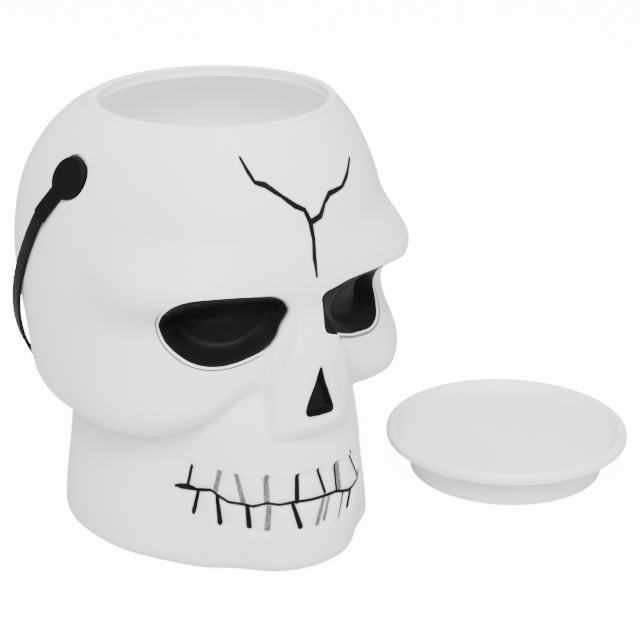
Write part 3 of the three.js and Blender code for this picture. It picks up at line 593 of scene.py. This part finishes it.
# %% Store the paint's depths, in millimetres, on the shell
paint_margin = 4.0


def store(name, values, first=0):
    whole = np.zeros(len(points), np.float32)
    whole[first:first + len(values)] = values
    shell.data.attributes.new(name, "FLOAT", "POINT").data.foreach_set("value", whole)


for region, depth in depths.items():
    store(region + "_paint", np.clip(depth / mm + paint_margin, 0, 4 * paint_margin))
    print(region, "deepest", round(float(depth.max()) / mm, 2), "mm")
store("around", np.degrees(angles))
store("inside", np.ones(len(inner) * inner_count), inner_first)
print("attributes", [a.name for a in shell.data.attributes if a.name.endswith(("paint", "around", "inside"))])

# %% [markdown]
# ## Seats for the handle's discs
#
# The handle turns about a straight axis, so each side of the head has a small round cup whose flat
# floor faces straight out, with a hole for the stud. Its wall ends level with the skin. A short boss
# and a collar of wall are joined to the shell, and the cup and the hole are cut from it, by Boolean
# modifiers. Modelling them into the grid would work too, but edges cut this way stay round on any grid.

# %% Sizes of the cups, the studs and the discs
disc_radius, seat_clearance = 8 * mm, 0.6 * mm
seat_radius, boss_wall, boss_length = disc_radius + seat_clearance, 0.8 * mm, 4 * mm
seat_reach = side_reach(pivot[2] + seat_radius + boss_wall)
stud_radius, stud_clearance, stud_head_radius, stud_head_thickness = 3.3 * mm, 0.4 * mm, 5 * mm, 2 * mm
stud_hole, head_hole = stud_radius + stud_clearance, stud_head_radius + stud_clearance
overrun, turn_sides = 20 * mm, 96
print("seat plane at", round(seat_reach, 5))


# %% Turned bodies about the pivot's axis, and how bodies are combined
def turned(profile, side, slope=0.0):
    """Points and faces of a closed round body about the X axis, from (reach, radius, lean) rows that
    start and end on it. A row that leans follows a plane that falls outwards by the slope."""
    turns = np.arange(turn_sides) * 2 * np.pi / turn_sides
    spots = [(side * profile[0][0], 0, 0)]
    for reach, radius, lean in profile[1:-1]:
        ring = [(radius * math.cos(a), radius * math.sin(a)) for a in turns]
        spots += [(side * (reach - lean * slope * z), y, z) for y, z in ring]
    spots.append((side * profile[-1][0], 0, 0))
    made = drum_faces(ring_numbers(1, turn_sides, len(profile) - 2), 0, len(spots) - 1)
    return spots, [face[::-1] for face in made] if side < 0 else made


def plain_mesh(piece, modifier):
    """The plain mesh that a modifier makes of a piece, which then loses the modifier."""
    bpy.context.view_layer.update()
    mesh = bpy.data.meshes.new_from_object(piece.evaluated_get(bpy.context.evaluated_depsgraph_get()))
    piece.modifiers.remove(modifier)
    return mesh


def combine(piece, tool, operation):
    """Joins a tool to a piece, cuts it out or keeps what both share."""
    modifier = piece.modifiers.new(operation, "BOOLEAN")
    modifier.operation = operation
    modifier.object = tool
    modifier.solver = "MANIFOLD"
    piece.data = plain_mesh(piece, modifier)
    bpy.data.objects.remove(tool)
    print(operation, len(piece.data.vertices), "points", len(piece.data.polygons), "faces")


def on_both_sides(name, profile):
    """The same turned body at the left and the right pivot."""
    (left, left_faces), (right, right_faces) = (turned(profile, side) for side in (-1, 1))
    right_faces = [tuple(len(left) + i for i in face) for face in right_faces]
    pair = mesh_object(name, left + right, left_faces + right_faces)
    pair.data.transform(Matrix.Translation(pivot))
    return pair


# %% Add the cups, then cut the seats and the stud holes
boss_radius, boss_back = seat_radius + boss_wall, seat_reach - boss_length


def drum_profile(end):
    """A plain drum from the boss's back to an end."""
    return [(boss_back, 0, 0), (boss_back, boss_radius, 0), (end, boss_radius, 0), (end, 0, 0)]


seat_profile = [
    (seat_reach - overrun, 0, 0), (seat_reach - overrun, head_hole, 0), (boss_back, head_hole, 0),
    (boss_back, stud_hole, 0), (seat_reach, stud_hole, 0), (seat_reach, seat_radius, 0),
    (seat_reach + overrun, seat_radius, 0), (seat_reach + overrun, 0, 0),
]
# The collar keeps just under the skin: it is what a drum shares with a body a hair smaller than the head
collar_sink, body_top, body_levels = 0.03 * mm, skull_height - 1 * mm, 120
body_heights = np.linspace(2 * boss_radius, body_top, body_levels)
body_reach = [skin(inner_angles, np.full(inner_angles.shape, h))[0] - collar_sink for h in body_heights]
body_rings = [ring_points(inner_angles, reach, h) for reach, h in zip(body_reach, body_heights)]
body_points = np.concatenate([*body_rings, [[0, 0, body_heights[0]], [0, 0, body_heights[-1]]]])
body_rings = ring_numbers(0, inner_count, body_levels)
body_faces = drum_faces(body_rings, len(body_points) - 2, len(body_points) - 1)
collars = on_both_sides("collars", drum_profile(seat_reach + overrun))
combine(collars, mesh_object("head_body", body_points.tolist(), body_faces), "INTERSECT")
combine(shell, on_both_sides("bosses", drum_profile(seat_reach)), "UNION")
combine(shell, collars, "UNION")
combine(shell, on_both_sides("seats", seat_profile), "DIFFERENCE")

# %% [markdown]
# ## A small kit for node trees
#
# Shader maths reads best as ordinary sums. One class wraps an output socket, so that plus, minus
# and times add the Math nodes, and one method adds any other node from its type, its settings and
# its inputs. The same kit builds the Geometry Nodes trees.

# %% Sockets that can be used in sums
def both_ways(operation):
    """The two methods of a sum: with the socket first, and with the socket second."""
    return (lambda self, other: self.maths(operation, self, other),
            lambda self, other: self.maths(operation, other, self))


class Flow:
    """An output socket of a node tree."""

    def __init__(self, desk, socket):
        self.desk, self.socket = desk, socket

    def maths(self, operation, first, second):
        return self.desk.node("ShaderNodeMath", {"operation": operation}, {0: first, 1: second})

    __add__, __radd__ = both_ways("ADD")
    __sub__, __rsub__ = both_ways("SUBTRACT")
    __mul__, __rmul__ = both_ways("MULTIPLY")
    __truediv__, __rtruediv__ = both_ways("DIVIDE")

    def largest(self, other):
        return self.maths("MAXIMUM", self, other)

    def to_power(self, power):
        return self.maths("POWER", self, power)

    def eased(self, low, high):
        """0 below low, 1 above high, and smooth between."""
        return self.desk.node("ShaderNodeMapRange", {"interpolation_type": "SMOOTHSTEP"},
                              {"Value": self, "From Min": low, "From Max": high})


class Desk:
    """A node tree being written."""

    def __init__(self, tree):
        self.tree = tree

    def node(self, kind, settings=None, inputs=None, output=0):
        made = self.tree.nodes.new(kind)
        for key, value in (settings or {}).items():
            setattr(made, key, value)
        for key, value in (inputs or {}).items():
            self.feed(made.inputs[key], value)
        return Flow(self, made.outputs[output])

    def feed(self, socket, value):
        if isinstance(value, Flow):
            self.tree.links.new(value.socket, socket)
        else:
            socket.default_value = value


class Finish(Desk):
    """A material with its Principled shader, whose sockets are set or linked."""

    def __init__(self, name, **uniform):
        self.material = bpy.data.materials.new(name)
        self.material.use_nodes = True
        super().__init__(self.material.node_tree)
        self.shader = self.tree.nodes["Principled BSDF"]
        self.connect(**uniform)
        self.place = self.node("ShaderNodeTexCoord", output="Object")

    def connect(self, shader=None, **links):
        for key, value in links.items():
            self.feed((shader or self.shader).inputs[key.replace("_", " ")], value)
        return self.material

    def second(self, share, **links):
        """A second Principled shader, mixed in by a share."""
        other = self.tree.nodes.new("ShaderNodeBsdfPrincipled")
        self.connect(other, **links)
        first, last = Flow(self, self.shader.outputs[0]), Flow(self, other.outputs[0])
        both = self.node("ShaderNodeMixShader", None, {0: share, 1: first, 2: last})
        self.feed(self.tree.nodes["Material Output"].inputs["Surface"], both)

    def mixed(self, share, first, second):
        """A colour between two colours."""
        colours = {"Factor": share, 6: first, 7: second}
        return self.node("ShaderNodeMix", {"data_type": "RGBA"}, colours, output=2)

    def noise(self, scale, detail=2.0, roughness=0.5):
        return self.node("ShaderNodeTexNoise", {"normalize": True},
                         {"Vector": self.place, "Scale": scale, "Detail": detail, "Roughness": roughness})

    def attribute(self, name):
        return self.node("ShaderNodeAttribute", {"attribute_name": name}, output="Fac")

    def bump(self, height, distance, strength, **under):
        inputs = {"Height": height, "Distance": distance, "Strength": strength, **under}
        return self.node("ShaderNodeBump", None, inputs)


# %% [markdown]
# ## White moulding with black paint
#
# The white is a bright, slightly soft polyethylene: a fine grain from the mould, wide faint waves from
# blowing, and a trace of grey in broad clouds. The wall is thin, so light comes through it, and the inside is
# also painted a lighter white with a faint painted glow, which stand in for that light. The black is a
# sprayed satin paint. Its edge is soft by a fraction of a millimetre and wanders a little, as on a masked
# spray job. Soft grey lies along the tooth lines and the crack, a thin grey line runs round the foot of each
# socket with a painted highlight between it and the black, and the grey round the nose opening is painted
# shade.

# %% Colours and steps of the painted white plastic
white_plastic, white_shade = (0.66, 0.66, 0.655, 1), (0.61, 0.61, 0.605, 1)
# The inside's lighter white and its faint glow are painted light, standing in for light that comes through
# the thin wall.
painted_bright_inside, painted_inside_glow = (0.84, 0.84, 0.835, 1), (0.22, 0.22, 0.218, 1)
# This grey is used for the soft grey paint along the lines, for the thin grey line round the sockets, and for
# painted shade round the nose opening.
grey_paint_and_shade, no_light = (0.05, 0.05, 0.05, 1), (0, 0, 0, 1)
paint_black, paint_worn = (0.003, 0.003, 0.003, 1), (0.012, 0.012, 0.012, 1)
light_depth = 4 * mm
# Noises: waves per metre, detail and roughness. Steps after them are in the noise's own value.
fine_grain, waver_noise, speckle_noise = (1400.0, 2.0), (260.0, 3.0), (900.0, 3.0, 0.7)
cloud_noise, streak_noise, sheen_noise = (14.0, 3.0), (70.0, 4.0), (160.0, 2.0)
wave_noise, peel_noise = (26.0, 2.0), (420.0, 1.0)
cloud_step, streak_step, speckle_step = (0.35, 0.75), (0.6, 0.85), (0.4, 0.6)
# Steps in millimetres from the paint's edge, where outside it is negative
# The step at the nose opening darkens the white just outside it: painted shade.
opening_step, stroke_step, soft_step, nose_painted_shade_step = (-0.12, 0.15), (-0.3, -0.06), (-0.85, 0.0), (-1.4, 0.0)
# The thin grey line round a socket ends inwards before the black; the bare white gap left there is a painted
# highlight on the socket's rim.
line_start, line_end, line_start_right, line_end_right = -1.5, -1.3, 0.6, 0.5
line_inner_step, line_strength, nose_painted_shade_strength = (-0.65, -0.85), 0.95, 0.14
socket_edge, socket_fade, socket_fade_shift = 0.12, 0.75, 0.5
socket_waver, opening_waver, stroke_waver, soft_waver = 0.2, 0.3, 0.25, 0.5
# Steps in degrees from the front, and in shares of a socket's half height
fade_step, bridge_step, left_step, right_step = (19.0, 14.0), (9.0, 6.0), (0.0, -1.0), (0.0, 1.0)
roof_shares = (0.3, 0.8)


# %% Painted white plastic
def painted_moulding():
    finish = Finish("painted_white_plastic", IOR=1.46, Specular_IOR_Level=0.3, Subsurface_Weight=0.25,
                    Subsurface_Scale=light_depth, Emission_Strength=1.0)
    waver = finish.noise(*waver_noise) - 0.5
    fine, speckle = finish.noise(*fine_grain), finish.noise(*speckle_noise)
    eye, nose, line, mist = (finish.attribute(name + "_paint") - paint_margin
                             for name in ("eye", "nose", "line", "mist"))
    # Round the foot and the outer end of each socket runs a thin grey line, and the bare white left between
    # it and the black is a painted highlight on the socket's rim. On the left socket's side of the nose the
    # black fades out instead.
    height = finish.node("ShaderNodeSeparateXYZ", None, {"Vector": finish.place}, output=2)
    around = finish.attribute("around")
    side = (around * around).to_power(0.5)
    left, right = around.eased(*left_step), around.eased(*right_step)
    roof = height.eased(*(eye_height + share * eye_half_height for share in roof_shares))
    faded = side.eased(*fade_step) * left
    socket = (eye + waver * socket_waver + faded * socket_fade_shift) / (socket_edge + faded * socket_fade)
    socket = socket.eased(-1.0, 1.0)
    outline = eye.eased(line_start - right * line_start_right, line_end - right * line_end_right)
    outline = outline * eye.eased(*line_inner_step) * (1.0 - roof) * (1.0 - faded)
    outline = outline * (1.0 - right * side.eased(*bridge_step)) * line_strength
    opening = (nose + waver * opening_waver).eased(*opening_step)
    strokes = (line + waver * stroke_waver).eased(*stroke_step)
    black = socket.largest(opening).largest(strokes)
    soft = (mist + waver * soft_waver).eased(*soft_step) * (0.88 + speckle.eased(*speckle_step) * 0.12)
    # The grey mixed in below is soft grey paint along the lines, the thin grey line round the sockets, and
    # painted shade round the nose opening.
    grey_and_shade_mask = (nose.eased(*nose_painted_shade_step) * nose_painted_shade_strength).largest(outline).largest(soft)
    # The inside is painted a lighter white here and given a faint glow at the end: painted light standing in
    # for light through the thin wall.
    cloud, inside = finish.noise(*cloud_noise).eased(*cloud_step), finish.attribute("inside")
    bare = finish.mixed(inside, finish.mixed(cloud, white_plastic, white_shade), painted_bright_inside)
    white_with_grey_and_shade = finish.mixed(grey_and_shade_mask, bare, grey_paint_and_shade)
    coat = finish.mixed(finish.noise(*streak_noise).eased(*streak_step) * 0.5, paint_black, paint_worn)
    rough, sheen = 0.46 + cloud * 0.05 + fine * 0.04, 0.46 + finish.noise(*sheen_noise) * 0.14
    grain = finish.bump(fine, 0.06 * mm, 0.3)
    waves = finish.bump(finish.noise(*wave_noise), 0.5 * mm, 0.12, Normal=grain)
    peel = finish.bump(finish.noise(*peel_noise), 0.1 * mm, 0.3, Normal=waves)
    finish.second(black, Base_Color=coat, Roughness=sheen, Specular_IOR_Level=0.06, IOR=1.46, Normal=peel)
    # A faint painted glow, on the inside only.
    glow = finish.mixed(inside, no_light, painted_inside_glow)
    return finish.connect(Base_Color=white_with_grey_and_shade, Roughness=rough, Normal=waves, Emission_Color=glow)


shell.data.materials.clear()
shell.data.materials.append(painted_moulding())
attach(shell, "pail")
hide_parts("skull_shell")
print("shell painted", shell.data.materials[0].name)

# %% [markdown]
# ## The strap handle
#
# The handle is one black moulding: a thin flat strap that bows around the head, a wider neck at each
# end, and a round disc with a stud behind it that snaps through the shell. The strap follows a path,
# so Geometry Nodes sweep a rounded section along it. The section's two sizes are inputs of the tree.

# %% Trees for pieces that are grown from a curve, and the sweep
def piece_tree(name, source, sizes, build):
    """A tree with a curve, named sizes and a finish as its inputs, and the finished piece as its output."""
    tree = bpy.data.node_groups.new(name, "GeometryNodeTree")
    kinds = {source: "Geometry", **sizes, "Finish": "Material"}
    for label, kind in kinds.items():
        tree.interface.new_socket(label, in_out="INPUT", socket_type="NodeSocket" + kind)
    tree.interface.new_socket("Piece", in_out="OUTPUT", socket_type="NodeSocketGeometry")
    desk, given = Desk(tree), tree.nodes.new("NodeGroupInput")
    *parts, finish = (Flow(desk, given.outputs[i]) for i in range(len(kinds)))
    made = desk.node("GeometryNodeRealizeInstances", None, {"Geometry": build(desk, *parts)})
    made = desk.node("GeometryNodeSetMaterial", None, {"Geometry": made, "Material": finish})
    desk.feed(tree.nodes.new("NodeGroupOutput").inputs["Piece"], made)
    return tree


def swept(desk, path, width, thickness, edge):
    """A flat section with rounded edges, swept along the path."""
    size = {"Width": width, "Height": thickness}
    section = desk.node("GeometryNodeCurvePrimitiveQuadrilateral", None, size)
    rounding = {"Curve": section, "Radius": edge, "Limit Radius": True, "Count": 4}
    section = desk.node("GeometryNodeFilletCurve", {"mode": "POLY"}, rounding)
    flat = desk.node("GeometryNodeSetCurveNormal", {"mode": "FREE"}, {"Curve": path, "Normal": (0, 1, 0)})
    curves = {"Curve": flat, "Profile Curve": section, "Fill Caps": True}
    return desk.node("GeometryNodeCurveToMesh", None, curves)


def path_object(name, spots, closed=False):
    """A path of straight steps as a curve object."""
    curve = bpy.data.curves.new(name, "CURVE")
    curve.dimensions = "3D"
    spline = curve.splines.new("POLY")
    spline.points.add(len(spots) - 1)
    for point, spot in zip(spline.points, spots):
        point.co = (*spot, 1)
    spline.use_cyclic_u = closed
    return placed(name, curve)


def grown(name, source, tree, values):
    """Runs a tree on an object, its named inputs set by their identifiers, and returns a mesh object."""
    modifier = source.modifiers.new(tree.name, "NODES")
    modifier.node_group = tree
    for item in tree.interface.items_tree:
        if item.in_out == "INPUT" and item.name in values:
            modifier[item.identifier] = values[item.name]
    mesh = plain_mesh(source, modifier)
    bpy.data.objects.remove(source)
    mesh.name = name
    print(name, len(mesh.vertices), "points")
    return placed(name, mesh)


strap_tree = piece_tree("flat_strap", "Path", dict.fromkeys(("Width", "Thickness", "Edge"), "Float"), swept)
print("strap tree", [item.name for item in strap_tree.interface.items_tree])

# %% Black handle plastic
handle_black, handle_scuffed = (0.003, 0.003, 0.0032, 1), (0.012, 0.012, 0.012, 1)
handle_grain, scuff_noise, scuff_step = (1500.0, 2.0), (60.0, 5.0, 0.65), (0.56, 0.8)


def handle_plastic():
    finish = Finish("black_strap_plastic", IOR=1.5, Specular_IOR_Level=0.04)
    fine, scuff = finish.noise(*handle_grain), finish.noise(*scuff_noise).eased(*scuff_step)
    colour = finish.mixed(scuff * 0.5, handle_black, handle_scuffed)
    rough = 0.5 + fine * 0.08 + scuff * 0.12
    return finish.connect(Base_Color=colour, Roughness=rough, Normal=finish.bump(fine, 0.05 * mm, 0.4))


black_plastic = handle_plastic()
print("handle finish", black_plastic.name)

# %% The strap's path and its two necks
pivot_forward = -pivot[1]
disc_stand_out, disc_face_rise, disc_gap = 1.8 * mm, 0.3 * mm, 0.3 * mm
strap_width, strap_thickness, strap_edge = 5.8 * mm, 1.6 * mm, 0.5 * mm
strap_side_gap, strap_rest_gap = 0.7 * mm, 0.6 * mm
neck_width, neck_drop, neck_extra = 7.2 * mm, 19 * mm, 0.1 * mm
strap_reach = head_half_width + strap_side_gap + strap_thickness / 2
widest_drop = 0.25 * skull_height
rest_back = pivot_forward + jaw_back + strap_rest_gap + strap_width / 2
rest_drop = pivot[2] - 0.2 * skull_height
handle_rest, handle_length = math.atan2(rest_back, rest_drop), math.hypot(rest_back, rest_drop)
disc_face = side_reach(pivot[2]) + disc_stand_out
strap_start = disc_face - disc_face_rise - strap_thickness / 2
strap_bow_shares = np.array([[0, 0], [0.21, 0.41], [0.42, 0.787], [0.58, 0.9], [0.78, 0.97], [1, 1]])
disc_slope = strap_bow_shares[1, 1] * (strap_reach - strap_start) / (strap_bow_shares[1, 0] * widest_drop)
upper_steps, bow_steps, neck_steps = 40, 60, 16
print("rest angle", round(math.degrees(handle_rest), 2), "disc slope", round(disc_slope, 3))


def strap_reach_at(drop):
    """Half the bow's width at a drop below the pivot."""
    if drop < widest_drop:
        share = table_at(strap_bow_shares, np.array(drop / widest_drop))[0]
        return strap_start + (strap_reach - strap_start) * float(share)
    share = (drop - widest_drop) / (handle_length - widest_drop)
    return strap_reach * math.sqrt(max(1 - share * share, 0))


def mirrored(path):
    """The same path on the other side, run the other way."""
    return [(-x, y, z) for x, y, z in path[::-1]]


upper_drops = np.linspace(0, widest_drop, upper_steps, endpoint=False)
bow_turns = np.linspace(0, np.pi / 2, bow_steps, endpoint=False)
drops = [*upper_drops, *(widest_drop + (handle_length - widest_drop) * np.sin(bow_turns))]
half_path = [(strap_reach_at(d), 0, -d) for d in drops]
whole_path = half_path + [(0, 0, -handle_length)] + mirrored(half_path)
neck_path = [(strap_reach_at(d), 0, -d) for d in np.linspace(0, neck_drop, neck_steps)]
strap_sizes = {"Width": strap_width, "Thickness": strap_thickness, "Edge": strap_edge}
strap_sizes["Finish"] = black_plastic
neck_sizes = {**strap_sizes, "Width": neck_width, "Thickness": strap_thickness + neck_extra}
strap = grown("strap", path_object("strap_path", whole_path), strap_tree, strap_sizes)
necks = [grown(name, path_object("neck_path", path), strap_tree, neck_sizes)
         for name, path in (("neck_right", neck_path), ("neck_left", mirrored(neck_path)))]

# %% The discs with their studs, joined to the strap
disc_back, stud_face = seat_reach + disc_gap, boss_back - disc_gap
disc_bevel, disc_rim, disc_rim_share, disc_rim_steps, disc_dome = 0.3 * mm, 1 * mm, 0.7, 5, 0.02 * mm
stud_head_bevel, stud_end = 1 * mm, stud_face - stud_head_thickness
disc_profile = [
    (stud_end, 0, 0), (stud_end, stud_head_radius - stud_head_bevel, 0), (stud_face, stud_head_radius, 0),
    (stud_face, stud_radius, 0), (disc_back, stud_radius, 0), (disc_back, disc_radius - disc_bevel, 0),
    (disc_back + disc_bevel, disc_radius, 0),
]
for turn in np.linspace(0, np.pi / 2, disc_rim_steps + 1):
    sunk, drawn = disc_rim * (1 - math.sin(turn)) * disc_rim_share, disc_rim * (1 - math.cos(turn))
    disc_profile.append((disc_face - sunk, disc_radius - drawn, 1))
disc_profile += [(disc_face - disc_dome, disc_radius / 2, 1), (disc_face, 0, 1)]
for neck in necks:
    combine(strap, neck, "UNION")
for side in (-1, 1):
    combine(strap, mesh_object("disc", *turned(disc_profile, side, disc_slope)), "UNION")
strap.data.transform(Matrix.Translation(pivot) @ Matrix.Rotation(handle_rest, 4, "X"))
strap.data.materials.clear()
strap.data.materials.append(black_plastic)
strap.name = "strap_handle"
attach(strap, "handle")
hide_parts("handle_strap")
print("handle points", len(strap.data.vertices), "stud face at", round(stud_face, 5))

# %% [markdown]
# ## The lid
#
# The lid is a turned shape: a hollow tapered plug under a wide flange, whose rounded rim stands round
# a sunk panel with a slight dome. A section swept round a circle makes it, which is what a lathe
# does, and the points that meet on the axis are merged so that the panel is closed.

# %% The lathe's tree and the lid's finish
def lathed(desk, section, sides, weld):
    """The section swept round the axis, with the points that meet there merged."""
    circle = desk.node("GeometryNodeCurvePrimitiveCircle", None, {"Resolution": sides, "Radius": 1.0})
    place = desk.node("GeometryNodeInputPosition")
    ring = desk.node("GeometryNodeSetCurveNormal", {"mode": "FREE"}, {"Curve": circle, "Normal": place})
    made = desk.node("GeometryNodeCurveToMesh", None, {"Curve": ring, "Profile Curve": section})
    return desk.node("GeometryNodeMergeByDistance", None, {"Geometry": made, "Distance": weld})


lid_white, lid_shade = (0.7, 0.7, 0.695, 1), (0.66, 0.66, 0.655, 1)
lid_cloud_noise, lid_wave_noise = (16.0, 3.0), (30.0, 2.0)


def lid_plastic():
    finish = Finish("white_lid_plastic", IOR=1.46, Specular_IOR_Level=0.35, Subsurface_Weight=0.25,
                    Subsurface_Scale=light_depth)
    fine, cloud = finish.noise(*fine_grain), finish.noise(*lid_cloud_noise).eased(*cloud_step)
    colour = finish.mixed(cloud, lid_white, lid_shade)
    rough = 0.36 + cloud * 0.06 + fine * 0.05
    grain = finish.bump(fine, 0.05 * mm, 0.3)
    waves = finish.bump(finish.noise(*lid_wave_noise), 0.4 * mm, 0.1, Normal=grain)
    return finish.connect(Base_Color=colour, Roughness=rough, Normal=waves)


white_lid = lid_plastic()
print("lid finish", white_lid.name)

# %% The lid's section
lid_clearance, lid_taper, lid_plug_depth = 0.5 * mm, 3 * mm, 14.5 * mm
lid_overhang, lid_flange_thickness, lid_crown = 7.4 * mm, 5 * mm, 0.8 * mm
lid_rim_width, lid_panel_drop, lid_panel_slope = 3.4 * mm, 3.6 * mm, 3.2 * mm
lid_wall, lid_edge_rounding, lid_small_rounding = 1.8 * mm, 2.4 * mm, 0.5 * mm
lid_groove_width, lid_groove_depth, lid_sides, lid_weld = 1.2 * mm, 0.7 * mm, 192, 0.01 * mm
plug_top = opening_radius - lid_clearance
plug_foot = plug_top - lid_taper
flange_radius = opening_radius + lid_overhang
lid_top = lid_plug_depth + lid_flange_thickness
lid_panel = lid_top - lid_panel_drop
panel_radius = flange_radius - lid_rim_width - lid_panel_slope


def arc(middle, radius, start, end, steps):
    """Points on an arc, with angles in degrees from straight out."""
    turns = np.radians(np.linspace(start, end, steps + 1))
    return [(middle[0] + radius * math.cos(a), middle[1] + radius * math.sin(a)) for a in turns]


edge, small = lid_edge_rounding, lid_small_rounding
slope_start, slope_levels, dome_levels = flange_radius - lid_rim_width, 12, 16
slope = [(slope_start - lid_panel_slope * share, lid_top - lid_panel_drop * float(ramp(0, 1, share)))
         for share in np.linspace(0, 1, slope_levels)[:-1]]
dome = [(share * (panel_radius - lid_groove_width), lid_panel + lid_crown * (1 - share**2))
        for share in np.linspace(1, 0, dome_levels)]
under_bend = (plug_top - lid_wall - edge, lid_panel - lid_wall - edge)
section = [
    (plug_foot - lid_wall, 0), *arc((plug_foot - small, small), small, -90, 0, 4), (plug_top, lid_plug_depth),
    *arc((flange_radius - edge / 2, lid_plug_depth + edge / 2), edge / 2, -90, 0, 6),
    *arc((flange_radius - edge, lid_top - edge), edge, 0, 90, 10), *slope,
    (panel_radius, lid_panel - lid_groove_depth / 2),
    (panel_radius - lid_groove_width / 2, lid_panel - lid_groove_depth), *dome,
    (0, lid_panel + lid_crown - lid_wall), (under_bend[0], lid_panel - lid_wall),
    *arc(under_bend, edge, 90, 0, 6)[1:],
]
lid_middle = (lid_low + lid_high) / 2
outline = path_object("lid_section", [(r - 1, -z, 0) for r, z in section], closed=True)
lathe_tree = piece_tree("turned_lid", "Section", {"Sides": "Int", "Weld": "Float"}, lathed)
lid_sizes = {"Sides": lid_sides, "Weld": lid_weld, "Finish": white_lid}
lid = grown("round_lid", outline, lathe_tree, lid_sizes)
reach = max(v.co.to_2d().length for v in lid.data.vertices)
tall = [min(v.co.z for v in lid.data.vertices), max(v.co.z for v in lid.data.vertices)]
print("lid radius", round(reach, 5), "heights", [round(v, 5) for v in tall])
lid.data.transform(Matrix.Translation((lid_middle.x, lid_middle.y, 0)))
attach(lid, "lid")
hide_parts("lid")

# %% [markdown]
# ## Corners that stay crisp
#
# Smooth shading would blur the edges of the seats, the strap and the flange's underside. Edges that
# turn sharply are marked, and only those break the shading.

# %% Mark the sharp edges
shell_corner_deg, small_corner_deg = 50, 35
for piece, degrees in ((shell, shell_corner_deg), (strap, small_corner_deg), (lid, small_corner_deg)):
    piece.data.shade_smooth()
    piece.data.set_sharp_from_angle(angle=math.radians(degrees))
    print(piece.name, "triangles", sum(len(p.vertices) - 2 for p in piece.data.polygons))

# %% [markdown]
# ## Floor, light and camera
#
# The photograph shows the pail on plain white under soft light. The key light comes from the front
# left and above, a weak fill from the front right, and a wide one from the top. The floor glows only
# towards the camera, so it is pure white in the picture and throws no light up at the pail. The
# camera stands where its lens and place match the opening's ellipse.

# %% Floor
floor_half, floor_drop, floor_rough, floor_glow = 4.0, 0.3 * mm, 0.9, 12.0
floor_noise, floor_step = (3.0, 2.0), (0.2, 0.8)
floor_pale, floor_shade, white_light = (0.72, 0.72, 0.72, 1), (0.7, 0.7, 0.7, 1), (1, 1, 1, 1)


def floor_finish():
    finish = Finish("pale_floor", Roughness=floor_rough)
    pale = finish.mixed(finish.noise(*floor_noise).eased(*floor_step), floor_pale, floor_shade)
    seen = finish.node("ShaderNodeLightPath", output="Is Camera Ray")
    finish.second(seen, Base_Color=pale, Roughness=floor_rough, Emission_Color=white_light,
                  Emission_Strength=floor_glow)
    return finish.connect(Base_Color=pale)


corners = [(x * floor_half, y * floor_half, -floor_drop) for x, y in ((-1, -1), (1, -1), (1, 1), (-1, 1))]
floor = mesh_object("floor", corners, [(0, 1, 2, 3)])
floor.data.materials.append(floor_finish())
print("floor", floor.name)

# %% Soft lights and a pale surround
aim = Vector((0.03, 0.0, 0.08))
# Name, place and size in metres, watts
light_rows = [
    ("key", (-0.65, -1.0, 1.2), 0.7, 73.0), ("fill", (0.9, -1.1, 0.6), 0.8, 8.0),
    ("top", (0.1, 0.3, 1.5), 1.0, 28.0),
]
for name, place, size, power in light_rows:
    light = bpy.data.lights.new(name, "AREA")
    light.shape, light.size, light.energy = "DISK", size, power
    lamp = placed(name, light)
    lamp.location = place
    lamp.rotation_euler = (aim - Vector(place)).to_track_quat("-Z", "Y").to_euler()
    print(name, power, "W")
surround_strength = 0.7
world = bpy.data.worlds.new("pale_surround")
world.use_nodes = True
surround = world.node_tree.nodes["Background"].inputs
surround["Color"].default_value, surround["Strength"].default_value = white_light, surround_strength
bpy.context.scene.world = world

# %% Camera at the photograph's place
camera_place = Vector((-0.4064, -0.6632, 0.3841))
yaw, pitch = math.radians(34.6345), math.radians(21.154)
focal_pixels, image_pixels = 2000, 640
ahead = Vector((math.sin(yaw) * math.cos(pitch), math.cos(yaw) * math.cos(pitch), -math.sin(pitch)))
camera_data = bpy.data.cameras.new("camera")
camera_data.sensor_width = 36
camera_data.lens = camera_data.sensor_width * focal_pixels / image_pixels
camera = placed("camera", camera_data)
camera.location = camera_place
camera.rotation_euler = ahead.to_track_quat("-Z", "Y").to_euler()
bpy.context.scene.camera = camera
print("lens", round(camera_data.lens, 2), "mm")
